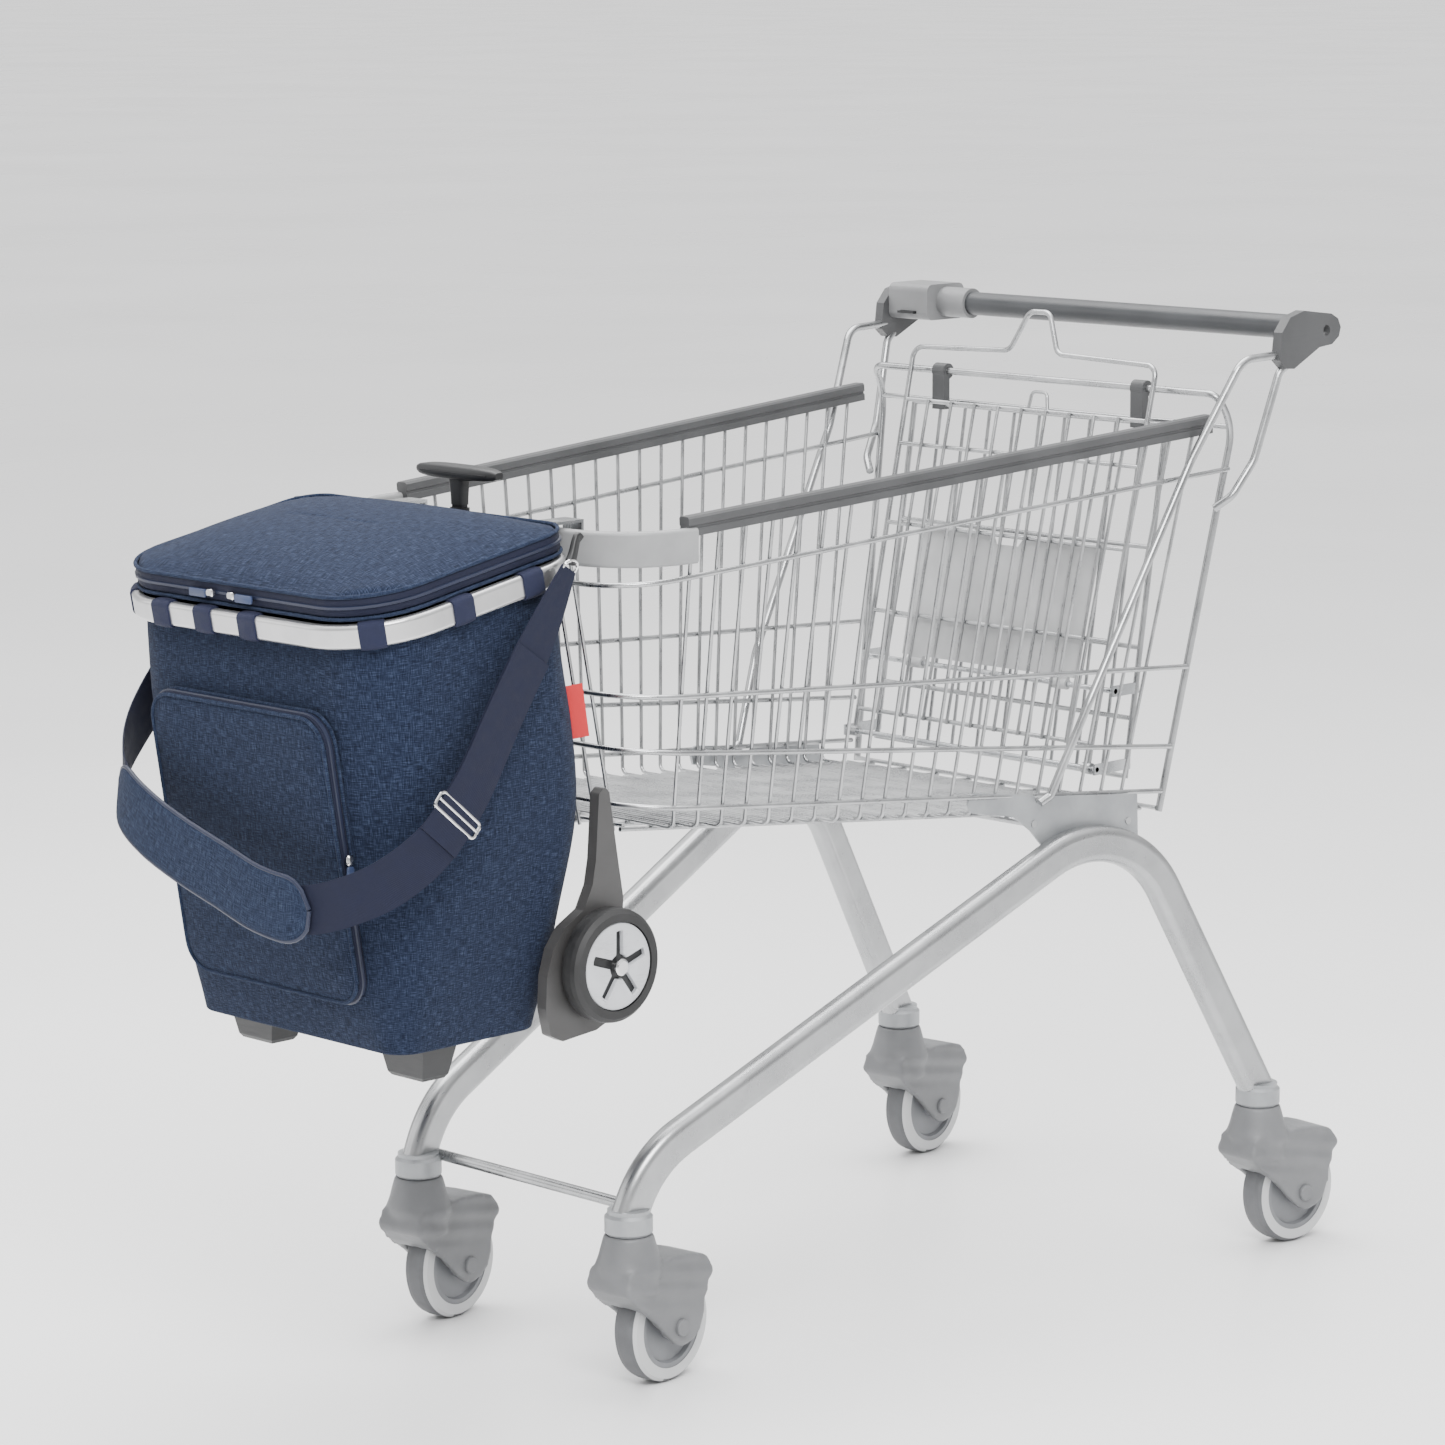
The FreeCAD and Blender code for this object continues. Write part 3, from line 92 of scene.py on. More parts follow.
class Mat:
    # a material with one Principled shader
    def __init__(self, name, **fixed):
        self.data = bpy.data.materials.new(name)
        self.data.use_nodes = True
        self.tree = self.data.node_tree
        self.shader = self.tree.nodes["Principled BSDF"]
        for socket, value in fixed.items():
            self.shader.inputs[socket.replace("_", " ")].default_value = value

    def add(self, kind, settings=None, inputs=None, out=0):
        node = self.tree.nodes.new(kind)
        for name, value in (settings or {}).items():
            if name == "stops":
                for i, (place, colour) in enumerate(value):
                    stop = node.color_ramp.elements[i] if i < 2 else node.color_ramp.elements.new(place)
                    stop.position, stop.color = place, tuple(colour) + (1,)
            else:
                setattr(node, name, value)
        for name, value in (inputs or {}).items():
            if isinstance(value, Val):
                self.tree.links.new(value.out, node.inputs[name])
            else:
                node.inputs[name].default_value = value
        return Val(self, node.outputs[out])

    def place(self, kind="Object"):
        return self.add("ShaderNodeTexCoord").pick(kind)

    def stretch(self, vector, scale, turn=(0, 0, 0)):
        return self.add("ShaderNodeMapping", inputs={"Vector": vector, "Scale": scale, "Rotation": turn})

    def noise(self, vector, scale, detail=4.0, roughness=0.55):
        return self.add("ShaderNodeTexNoise", inputs={"Vector": vector, "Scale": scale, "Detail": detail,
                                                      "Roughness": roughness})

    def wave(self, vector, scale, direction="X", distortion=0.0):
        return self.add("ShaderNodeTexWave", dict(bands_direction=direction),
                        {"Vector": vector, "Scale": scale, "Distortion": distortion}, out=1)

    def ramp(self, value, stops):
        return self.add("ShaderNodeValToRGB", dict(stops=stops), {"Fac": value})

    def range(self, value, low, high, newLow, newHigh):
        return self.add("ShaderNodeMapRange", inputs={0: value, 1: low, 2: high, 3: newLow, 4: newHigh})

    def mix(self, factor, a, b, blend="MIX"):
        full = lambda c: c if isinstance(c, Val) else tuple(c) + (1,)
        return self.add("ShaderNodeMix", dict(data_type="RGBA", blend_type=blend),
                        {0: factor, 6: full(a), 7: full(b)}, out=2)

    def feed(self, socket, value):
        self.tree.links.new(value.out, self.shader.inputs[socket])
        return self

    def bump(self, height, distance, strength=0.6):
        normal = self.add("ShaderNodeBump", inputs={"Height": height, "Distance": distance,
                                                    "Strength": strength})
        return self.feed("Normal", normal)


metalLook = {
    "wire": dict(colour=(0.46, 0.465, 0.47), dark=(0.32, 0.325, 0.33), rough=(0.20, 0.38), metallic=1.0),
    "lacquer": dict(colour=(0.40, 0.405, 0.41), dark=(0.33, 0.335, 0.34), rough=(0.24, 0.34), metallic=0.9),
    "sheet": dict(colour=(0.36, 0.37, 0.38), dark=(0.27, 0.28, 0.29), rough=(0.36, 0.5), metallic=0.6),
    "turned": dict(colour=(0.52, 0.53, 0.54), dark=(0.34, 0.35, 0.36), rough=(0.18, 0.34), metallic=1.0),
    "alloy": dict(colour=(0.58, 0.58, 0.585), dark=(0.48, 0.48, 0.485), rough=(0.26, 0.36), metallic=0.9),
    "poleBlack": dict(colour=(0.03, 0.03, 0.033), dark=(0.018, 0.018, 0.02), rough=(0.3, 0.42), metallic=0.6),
    "chrome": dict(colour=(0.72, 0.72, 0.72), dark=(0.6, 0.6, 0.6), rough=(0.06, 0.14), metallic=1.0),
}


def metal(name, colour, dark, rough, metallic):
    mat = Mat(name, Metallic=metallic)
    spot = mat.place()
    cloud = mat.noise(spot, 22.0)
    grain = mat.noise(mat.stretch(spot, (900, 60, 60)), 1.0, 2.0)
    mat.feed("Base Color", mat.mix(mat.range(cloud, 0.35, 0.7, 0, 1), dark, colour))
    mat.feed("Roughness", mat.range(cloud * 0.6 + grain * 0.4, 0.3, 0.7, rough[0], rough[1]))
    mat.bump(grain * 0.5 + mat.noise(spot, 160.0), 0.00003, 0.2)
    return mat.data


plasticLook = {
    "railGrey": dict(colour=(0.050, 0.051, 0.053), rough=0.42, grain=1400, depth=0.00010),
    "bumperGrey": dict(colour=(0.24, 0.243, 0.246), rough=0.4, grain=1500, depth=0.00010),
    "handleGrey": dict(colour=(0.032, 0.034, 0.037), rough=0.38, grain=1700, depth=0.00008),
    "lockGrey": dict(colour=(0.16, 0.162, 0.165), rough=0.42, grain=1300, depth=0.0001),
    "black": dict(colour=(0.0085, 0.009, 0.010), rough=0.44, grain=1500, depth=0.00014),
    "panelGrey": dict(colour=(0.36, 0.363, 0.366), rough=0.42, grain=1200, depth=0.0001),
    "castorGrey": dict(colour=(0.135, 0.138, 0.143), rough=0.45, grain=900, depth=0.00016),
    "hubGrey": dict(colour=(0.17, 0.175, 0.185), rough=0.5, grain=1100, depth=0.0001),
    "rimGrey": dict(colour=(0.52, 0.525, 0.53), rough=0.42, grain=1200, depth=0.00008),
    "bracketGrey": dict(colour=(0.044, 0.043, 0.043), rough=0.4, grain=1100, depth=0.00014),
    "capSilver": dict(colour=(0.46, 0.47, 0.49), rough=0.28, grain=1600, depth=0.00004),
    "pullBlue": dict(colour=(0.03, 0.045, 0.10), rough=0.4, grain=1300, depth=0.0001),
    "zipBlue": dict(colour=(0.006, 0.010, 0.030), rough=0.45, grain=1300, depth=0.0001),
}


def plastic(name, colour, rough, grain, depth):
    mat = Mat(name, IOR=1.47)
    spot = mat.place()
    cloud = mat.noise(spot, 14.0)
    scuff = mat.noise(mat.stretch(spot, (60, 60, 420)), 1.0, 3.0)
    lighter = tuple(min(1.0, c * 1.18 + 0.004) for c in colour)
    darker = tuple(c * 0.86 for c in colour)
    mat.feed("Base Color", mat.mix(mat.range(cloud, 0.3, 0.72, 0, 1), darker, lighter))
    mat.feed("Roughness", mat.range(scuff * 0.5 + cloud * 0.5, 0.3, 0.7, rough - 0.07, rough + 0.09))
    mat.bump(mat.noise(spot, grain, 2.0), depth, 0.35)
    return mat.data


def rubber(name, colour):
    mat = Mat(name, IOR=1.5)
    spot = mat.place()
    dust = mat.noise(spot, 34.0, 5.0)
    fine = mat.noise(spot, 900.0, 2.0)
    mat.feed("Base Color", mat.mix(mat.range(dust, 0.4, 0.75, 0, 1), colour,
                                   tuple(c * 1.35 + 0.012 for c in colour)))
    mat.feed("Roughness", mat.range(dust, 0.3, 0.7, 0.5, 0.72))
    mat.bump(fine * 0.7 + dust * 0.6, 0.00025, 0.4)
    return mat.data


def castorTyre(name, tread, wall):
    # grey tread with a paler moulded band on both faces
    mat = Mat(name, IOR=1.5)
    spot = mat.place()
    dust = mat.noise(spot, 34.0, 5.0)
    facing = mat.add("ShaderNodeSeparateXYZ", inputs={0: mat.place("Normal")})
    flank = facing.calc("ABSOLUTE", facing).above(0.72)
    worn = mat.mix(mat.range(dust, 0.4, 0.75, 0, 1), tread, tuple(c * 1.3 + 0.01 for c in tread))
    mat.feed("Base Color", mat.mix(flank, worn, wall))
    mat.feed("Roughness", mat.range(dust, 0.3, 0.7, 0.45, 0.68))
    mat.bump(mat.noise(spot, 900.0, 2.0) * 0.7 + dust * 0.6, 0.00025, 0.4)
    return mat.data


fabricLook = {
    "fabricNavy": dict(deep=(0.0030, 0.0050, 0.0125), mid=(0.0105, 0.0160, 0.0350),
                       light=(0.040, 0.055, 0.098)),
    "padNavy": dict(deep=(0.0050, 0.0080, 0.0185), mid=(0.0145, 0.0215, 0.0450),
                    light=(0.042, 0.058, 0.100)),
}


def fabric(name, deep, mid, light):
    # melange plain weave: slubs along both thread directions, in metres on the UV map
    mat = Mat(name, Roughness=0.9, Specular_IOR_Level=0.12, Sheen_Weight=0.03, Sheen_Roughness=0.4)
    cloth = mat.place("UV")
    warp = mat.noise(mat.stretch(cloth, (1250, 85, 1)), 1.0, 3.0, 0.6)
    weft = mat.noise(mat.stretch(cloth, (85, 1250, 1)), 1.0, 3.0, 0.6)
    broad = mat.noise(cloth, 16.0, 3.0)
    slub = mat.range(warp * 0.52 + weft * 0.48, 0.36, 0.66, 0, 1)
    colour = mat.ramp(slub, [(0.08, deep), (0.92, light), (0.45, mid)])
    shade = mat.mix(mat.range(broad, 0.3, 0.7, 0, 0.2), colour, mid)
    mat.feed("Base Color", shade)
    threads = mat.wave(cloth, 480.0, "X", 0.4) * 0.5 + mat.wave(cloth, 480.0, "Y", 0.4) * 0.5
    mat.bump(threads + slub * 0.8, 0.0006, 0.45)
    return mat.data


def webbing(name, colour):
    # ribbed tape: u runs along it, v across, in metres
    mat = Mat(name, Specular_IOR_Level=0.16, Sheen_Weight=0.02)
    tape = mat.place("UV")
    ribs = mat.wave(tape, 300.0, "X", 0.6)
    twill = mat.wave(mat.stretch(tape, (1, 1, 1), (0, 0, 0.9)), 420.0, "X", 0.3)
    worn = mat.noise(tape, 60.0)
    lighter = tuple(c * 1.7 + 0.003 for c in colour)
    mat.feed("Base Color", mat.mix(mat.range(twill * 0.6 + worn * 0.6, 0.2, 1.0, 0, 1), colour, lighter))
    mat.feed("Roughness", mat.range(worn, 0.3, 0.7, 0.55, 0.75))
    mat.bump(ribs + twill * 0.5, 0.0005, 0.5)
    return mat.data


def tagRed(name):
    mat = Mat(name, Roughness=0.6, Sheen_Weight=0.2)
    weave = mat.wave(mat.place("UV"), 600.0, "DIAGONAL", 0.5)
    mat.feed("Base Color", mat.mix(weave, (0.40, 0.001, 0.004), (0.52, 0.003, 0.008)))
    mat.bump(weave, 0.0003, 0.4)
    return mat.data


skins = {name: metal(name, **look) for name, look in metalLook.items()}
skins.update({name: plastic(name, **look) for name, look in plasticLook.items()})
skins.update({name: fabric(name, **look) for name, look in fabricLook.items()})
skins["tyreGrey"] = castorTyre("tyreGrey", (0.085, 0.087, 0.092), (0.50, 0.505, 0.51))
skins["tyreBlack"] = rubber("tyreBlack", (0.0075, 0.0075, 0.008))
skins["webbingNavy"] = webbing("webbingNavy", (0.0062, 0.0076, 0.0190))
skins["loopNavy"] = webbing("loopNavy", (0.0095, 0.0115, 0.0290))
skins["tagRed"] = tagRed("tagRed")
print("materials made")


# lengths are in mm until a piece is finished
def unit(v):
    return v.normalized() if v.length > 1e-9 else Vector((0, 0, 1))


def rounded(points, radii):
    # an open path with its corners rounded
    points = [Vector(p) for p in points]
    out = [points[0]]
    for i, r in enumerate(radii):
        before, corner, after = points[i:i + 3]
        a, b = unit(before - corner), unit(after - corner)
        bend = math.pi - a.angle(b)
        if bend < 0.02 or not r:
            out.append(corner)
            continue
        reach = r * math.tan(bend / 2)
        start, end = corner + a * reach, corner + b * reach
        centre = corner + unit(a + b) * (r / math.cos(bend / 2))
        u, w = start - centre, end - centre
        turn = u.angle(w)
        steps = max(3, int(turn / 0.16))
        for k in range(steps + 1):
            s = k / steps
            out.append(centre + (u * math.sin((1 - s) * turn) + w * math.sin(s * turn)) / math.sin(turn))
    out.append(points[-1])
    return out


def spline(points, perSpan=8):
    # a smooth curve through the points
    points = [Vector(p) for p in points]
    ends = [2 * points[0] - points[1]] + points + [2 * points[-1] - points[-2]]
    out = []
    for i in range(1, len(ends) - 2):
        a, b, c, d = ends[i - 1:i + 3]
        for k in range(perSpan):
            t = k / perSpan
            out.append(0.5 * (2 * b + (c - a) * t + (2 * a - 5 * b + 4 * c - d) * t * t
                              + (3 * b - a - 3 * c + d) * t ** 3))
    return out + [points[-1]]


def frames(path, up=None):
    # tangent, side and up at each point, carried along without twist
    found = []
    last = None
    for i, p in enumerate(path):
        along = unit(path[min(i + 1, len(path) - 1)] - path[max(i - 1, 0)])
        if last is None:
            last = Vector(up) if up else (Vector((0, 0, 1)) if abs(along.z) < 0.9 else Vector((0, 1, 0)))
        rise = unit(last - along * last.dot(along))
        last = rise
        found.append((along, unit(along.cross(rise)), rise))
    return found


def circle(r, count=14):
    return [(r * math.cos(2 * math.pi * k / count), r * math.sin(2 * math.pi * k / count))
            for k in range(count)]


def roundedBox(width, height, r, per=4):
    # outline of a flat section with round corners, centred on 0, 0
    out = []
    for i, (sx, sy) in enumerate(((1, 1), (-1, 1), (-1, -1), (1, -1))):
        cx, cy = sx * (width / 2 - r), sy * (height / 2 - r)
        for k in range(per + 1):
            a = math.pi / 2 * (i + k / per)
            out.append((cx + r * math.cos(a), cy + r * math.sin(a)))
    return out


class Piece:
    # gathers shells in mm, then makes one object of them
    def __init__(self, name):
        self.name = name
        self.verts, self.faces, self.uvs = [], [], []

    def rings(self, rings, caps=True, closed=True, loop=False):
        # skin over rings of points; u runs from ring to ring, v around a ring, both in metres
        base, n, m = len(self.verts), len(rings[0]), len(rings)
        for ring in rings:
            self.verts.extend(ring)
        around = [0.0]
        widest = max(rings, key=lambda ring: sum((a - b).length for a, b in zip(ring, ring[1:])))
        for j in range(n):
            around.append(around[-1] + (widest[(j + 1) % n] - widest[j]).length * mm)
        along = [0.0]
        for i in range(m):
            step = sum((rings[(i + 1) % m][j] - rings[i][j]).length for j in range(0, n, max(1, n // 6)))
            along.append(along[-1] + step / len(range(0, n, max(1, n // 6))) * mm)
        for i in range(m if loop else m - 1):
            k = (i + 1) % m
            for j in range(n if closed else n - 1):
                l = (j + 1) % n
                self.faces.append((base + i * n + j, base + k * n + j, base + k * n + l, base + i * n + l))
                self.uvs.append(((along[i], around[j]), (along[i + 1], around[j]),
                                 (along[i + 1], around[j + 1]), (along[i], around[j + 1])))
        if caps and not loop and closed:
            for i, turn in ((0, 1), (m - 1, -1)):
                face = tuple(base + i * n + j for j in range(n))[::turn]
                self.faces.append(face)
                self.uvs.append(tuple((self.verts[v].x * mm, self.verts[v].z * mm) for v in face))
        return self

    def sweep(self, path, section, up=None, caps=True, loop=False, grow=None):
        path = [Vector(p) for p in path]
        rings = []
        for i, (p, (along, side, rise)) in enumerate(zip(path, frames(path, up))):
            k = grow(i / (len(path) - 1)) if grow else 1.0
            rings.append([p + side * x * k + rise * y * k for x, y in section])
        return self.rings(rings, caps, True, loop)

    def turned(self, centre, axis, profile, count=64, closed=False):
        # a profile of (radius, height along the axis) turned about the axis
        axis = unit(Vector(axis))
        side = unit(axis.cross(Vector((0, 0, 1)) if abs(axis.z) < 0.9 else Vector((0, 1, 0))))
        other = axis.cross(side)
        profile = profile + profile[:1] if closed else profile
        rings = []
        for r, h in profile:
            rings.append([Vector(centre) + axis * h + (side * math.cos(a) + other * math.sin(a)) * r
                          for a in (2 * math.pi * k / count for k in range(count))])
        return self.rings(rings, caps=not closed)

    def done(self, skin, slotName, body, hides=(), sharp=38, ride=True):
        data = bpy.data.meshes.new(self.name)
        shift = Vector((0, middle, 0))
        data.from_pydata([(v + shift) * mm for v in self.verts], [], self.faces)
        layer = data.uv_layers.new(name="UVMap")
        flat = [c for face in self.uvs for pair in face for c in pair]
        layer.data.foreach_set("uv", flat)
        data.materials.append(skins[skin])
        work = bmesh.new()
        work.from_mesh(data)
        bmesh.ops.recalc_face_normals(work, faces=work.faces)
        for edge in work.edges:
            edge.smooth = not (len(edge.link_faces) == 2 and edge.calc_face_angle(0) > math.radians(sharp))
        for face in work.faces:
            face.smooth = True
        work.to_mesh(data)
        work.free()
        obj = bpy.data.objects.new(self.name, data)
        scene.collection.objects.link(obj)
        if ride:
            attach(obj, body)
        if hides:
            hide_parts(*hides)
        return obj


# each CAD node gets one material
cadSkins = {
    "left_frame_tube": "lacquer", "right_frame_tube": "lacquer", "front_cross_bar": "wire",
    "saddle_plates": "sheet", "cross_wires": "wire", "castor_sockets": "sheet",
    "basket_side_walls": "wire", "basket_front_wall": "wire", "basket_floor": "wire", "back_arch": "wire",
    "top_rails": "railGrey", "front_bumper": "bumperGrey", "handle_bar": "handleGrey",
    "handle_brackets": "railGrey", "handle_stays": "wire", "coin_lock_body": "lockGrey",
    "coin_drawer": "black", "back_gate": "wire", "gate_hinge_clips": "railGrey", "gate_pivot_rods": "turned",
    "seat_back_frame": "wire", "seat_panel": "panelGrey",
    "bag_frame_ring": "alloy", "bag_strap_hardware": "chrome", "bag_wheel_brackets": "bracketGrey",
    "bag_wheel_bolts": "chrome", "bag_feet": "black", "pole_sleeve": "poleBlack", "pole_tube": "poleBlack",
    "pole_grip": "black", "pole_brackets": "black", "bag_hooks": "turned",
}
for side in ("left", "right"):
    cadSkins.update({"bag_tyre_" + side: "tyreBlack", "bag_wheel_hub_" + side: "bracketGrey",
                     "bag_wheel_cap_" + side: "capSilver"})
for place in ("front_left", "front_right", "rear_left", "rear_right"):
    cadSkins.update({"castor_fork_" + place: "castorGrey", "castor_axle_" + place: "castorGrey",
                     "castor_tyre_" + place: "tyreGrey", "castor_hub_" + place: "hubGrey"})

for name, obj in nodes.items():
    skin = skins[cadSkins.get(name, "fabricNavy")]
    if obj.data.materials:
        for place in range(len(obj.data.materials)):
            obj.data.materials[place] = skin
    else:
        obj.data.materials.append(skin)
print("CAD nodes have materials:", len(nodes))


def lerp(a, b, t):
    return a + (b - a) * t


def wallPoint(t, k, side, outward=0.0):
    # a point on a basket side wall: t from front to back, k from foot to rim
    low = Vector((lerp(176, 233, t), lerp(-262, 438, t), lerp(603, 537, t)))
    high = Vector((lerp(214, 266, t), lerp(-272, 523, t), lerp(894, 946, t)))
    p = low + (high - low) * k
    return Vector((side * (p.x + outward), p.y, p.z))


basketLook = dict(rib=2.0, hoop=2.8, offset=4.3, lift=4.0, ribs=21, floorWire=2.5, bend=72,
                  between=1.7, perRib=3, foot=577,
                  hoops=[(0.0, 0.0), (0.2, 0.12), (0.4, 0.335), (0.82, 0.865)])


def frontLine(z):
    return -352 + (894 - z) * 0.2


def floorHeight(y):
    return 578 - 0.0926 * (y + 265)


def hoopCorner(kFront, kBack, side):
    back = wallPoint(1, kBack, side, basketLook["offset"])
    front = wallPoint(0, kFront, side, basketLook["offset"])
    corner = front
    for _ in range(3):
        y = frontLine(corner.z) - basketLook["offset"]
        corner = back + (front - back) * ((back.y - y) / (back.y - front.y))
    return corner, back


def basketWires():
    k = basketLook
    walls, floor = Piece("basket_wall_wires"), Piece("basket_floor_wires")
    for kFront, kBack in k["hoops"] + [(0.985, 0.985)]:
        (a, aBack), (b, bBack) = (hoopCorner(kFront, kBack, side) for side in (1, -1))
        if kFront > 0.98:
            aBack, bBack = (a + unit(aBack - a) * (k["bend"] + 12), b + unit(bBack - b) * (k["bend"] + 12))
        walls.sweep(rounded([aBack, a, b, bBack], [k["bend"]] * 2), circle(k["hoop"], 12))
    stations = [(i + 0.3) / (k["ribs"] - 0.2) * 0.94 for i in range(k["ribs"])]
    feet = []
    for t in stations:
        low, high = wallPoint(t, 0, 1), wallPoint(t, 1, 1)
        z = floorHeight(low.y) + k["lift"]
        foot = wallPoint(t, (z - low.z) / (high.z - low.z), 1)
        feet.append(foot)
        for side in (1, -1):
            turn = Vector((side * foot.x, foot.y, foot.z))
            inward = Vector((side * (foot.x - 18), foot.y, foot.z))
            top = wallPoint(t, 1, side)
            walls.sweep(rounded([top, turn, inward], [9]), circle(k["rib"], 10))
    for x in range(-125, 126, 25):
        walls.sweep([Vector((x, frontLine(888), 888)), Vector((x, frontLine(k["foot"]), k["foot"]))],
                    circle(k["rib"], 10))
    for share in (-0.92, -0.69, -0.46, -0.23, 0, 0.23, 0.46, 0.69, 0.92):
        front, back = frontLine(k["foot"]) - 3, 441.0
        floor.sweep([Vector((share * 150, front, floorHeight(front))),
                     Vector((share * 222, back, floorHeight(back)))], circle(k["floorWire"], 10))
    for foot, after in zip(feet, feet[1:] + [feet[-1] + Vector((0, 30, -2.8))]):
        for i in range(k["perRib"]):
            p = foot.lerp(after, i / k["perRib"])
            half = p.x - 17 if i == 0 else p.x * 0.95 - 12
            z = floorHeight(p.y) + k["lift"]
            floor.sweep([Vector((-half, p.y, z)), Vector((half, p.y, z))],
                        circle(k["rib"] if i == 0 else k["between"], 8))
    for y, half in ((frontLine(k["foot"]) + 2, 138), (438, 230)):
        z = floorHeight(y) + k["lift"]
        floor.sweep([Vector((-half, y, z)), Vector((half, y, z))], circle(k["rib"] + 0.5, 10))
    walls.done("wire", "wire", "trolley", ["basket_side_walls", "basket_front_wall"])
    floor.done("wire", "wire", "trolley", ["basket_floor"])


basketWires()
print("basket wires made")


rimTilt = math.radians(10.5)    # the frame ring rises towards the basket
bagLook = dict(rimFront=817.0, ringFront=-680.0, wall=4, pressure=4.0, steps=20, cap=6.0,
               edgeOut=17, edgeHeight=620, edgeSpread=90, rimIn=12)


def rimHeight(y, lift=0.0):
    return bagLook["rimFront"] + lift + (y - bagLook["ringFront"]) * math.tan(rimTilt)


def outline(half, front, back, frontBend, backBend, height, per=9, side=10):
    # a rounded rectangle seen from above, as one ring; height is a number or a rule on y
    level = height if callable(height) else (lambda y: height)
    out = []
    spots = [(half, front, frontBend, -90), (half, back, backBend, 0),
             (-half, back, backBend, 90), (-half, front, frontBend, 180)]
    for i, (x, y, r, begin) in enumerate(spots):
        cx, cy = x - math.copysign(r, x), y - r if i in (1, 2) else y + r
        for k in range(per + 1):
            a = math.radians(begin + 90 * k / per)
            out.append(Vector((cx + r * math.cos(a), cy + r * math.sin(a), 0)))
        nx, ny, nr, nbegin = spots[(i + 1) % 4]
        ex = nx - math.copysign(nr, nx) + nr * math.cos(math.radians(nbegin))
        ey = (ny - nr if (i + 1) % 4 in (1, 2) else ny + nr) + nr * math.sin(math.radians(nbegin))
        last = out[-1]
        for k in range(1, side):
            out.append(Vector((lerp(last.x, ex, k / side), lerp(last.y, ey, k / side), 0)))
    return [Vector((p.x, p.y, level(p.y))) for p in out]


def between(rings, shares):
    # smooth rings between given rings, one per share from 0 to 1
    n = len(rings[0])
    columns = [spline([ring[j] for ring in rings], 40) for j in range(n)]
    count = len(columns[0]) - 1
    return [[columns[j][round(s * count)] for j in range(n)] for s in shares]


def settle(piece, pinned, look):
    # the fabric swells a little and is held where pinned says, then the result is kept
    data = piece.data
    rest = [v.co.copy() for v in data.vertices]
    group = piece.vertex_groups.new(name="held")
    for i, co in enumerate(rest):
        group.add([i], pinned(co), "REPLACE")
    cloth = piece.modifiers.new("swell", "CLOTH")
    cloth.settings.quality = 6
    cloth.settings.mass = 0.25
    cloth.settings.tension_stiffness = cloth.settings.compression_stiffness = look.get("stiff", 28)
    cloth.settings.bending_stiffness = 1.6
    cloth.settings.use_pressure = True
    cloth.settings.uniform_pressure_force = look["pressure"]
    cloth.settings.vertex_group_mass = "held"
    cloth.settings.effector_weights.gravity = 0
    cloth.point_cache.frame_start, cloth.point_cache.frame_end = 1, look["steps"]
    for step in range(1, look["steps"] + 1):
        scene.frame_set(step)
    soft = piece.evaluated_get(bpy.context.evaluated_depsgraph_get()).to_mesh()
    moved = [v.co.copy() for v in soft.vertices]
    piece.modifiers.remove(cloth)
    scene.frame_set(1)
    cap = look["cap"] * mm
    for v, old, new in zip(data.vertices, rest, moved):
        step = new - old
        v.co = old + step * min(1.0, cap / max(step.length, 1e-9))
    data.update()


def flatUv(piece, first, second):
    # weave coordinates straight from two axes, in metres
    layer = piece.data.uv_layers[0].data
    for loop in piece.data.loops:
        co = piece.data.vertices[loop.vertex_index].co
        layer[loop.index].uv = (co[first], co[second])


def refine(piece, levels=1):
    sub = piece.modifiers.new("smooth", "SUBSURF")
    sub.levels = sub.render_levels = levels
    return piece


def bagBody():
    k = bagLook
    levels = [outline(149, -598, -427, 22, 22, 398), outline(158, -607, -418, 28, 28, 400),
              outline(162, -611, -414, 32, 32, 416), outline(174, -620, -404, 38, 38, 466),
              outline(186, -634, -397, 46, 42, 556), outline(193, -644, -393, 52, 44, 640),
              outline(198, -655, -393, 60, 44, 730),
              outline(198, -664, -397, 72, 42, lambda y: rimHeight(y, 9))]
    outer = [levels[0]] + between(levels[1:], [i / 34 for i in range(35)])
    for ring in outer:
        for p in ring:
            side = min(1.0, max(0.0, (abs(p.x) - 40) / 110)) * min(1.0, max(0.0, (p.y + 600) / 180))
            p.y += side * (k["edgeOut"] * math.exp(-((p.z - k["edgeHeight"]) / k["edgeSpread"]) ** 2)
                           - k["rimIn"] * min(1.0, max(0.0, (p.z - 720) / 110)))
    inner = []
    for ring in reversed(outer[1:]):
        c = sum(ring, Vector()) / len(ring)
        inner.append([Vector((p.x - math.copysign(k["wall"], p.x - c.x),
                              p.y - math.copysign(k["wall"], p.y - c.y), max(p.z, 406))) for p in ring])
    piece = Piece("bag_body_fabric").rings(outer + inner[::4])
    obj = piece.done("fabricNavy", "bag_fabric", "bag", ["bag_body"], sharp=70, ride=False)
    low, high = 404 * mm, 60 * mm

    def pinned(co):
        y = co.y / mm - middle
        fromRim = rimHeight(y, 9) * mm - co.z
        nearBracket = y > -470 and abs(co.x) > 0.14 and co.z < 0.60
        return 1.0 if co.z < low or fromRim < 0.045 or nearBracket else 0.25 if fromRim < high else 0.0

    settle(obj, pinned, k)
    refine(obj)
    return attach(obj, "bag")


def lidPlace(p):
    # from the ring's level frame to the tilted one
    front = bagLook["ringFront"]
    y, z = p.y - front, p.z
    return Vector((p.x, front + y * math.cos(rimTilt) - z * math.sin(rimTilt),
                   bagLook["rimFront"] + y * math.sin(rimTilt) + z * math.cos(rimTilt)))


lidLook = dict(half=198, front=-667, back=-399, frontBend=72, backBend=36, zipLow=13, zipHigh=38,
               crown=70, pressure=1.5, steps=16, cap=3.0)


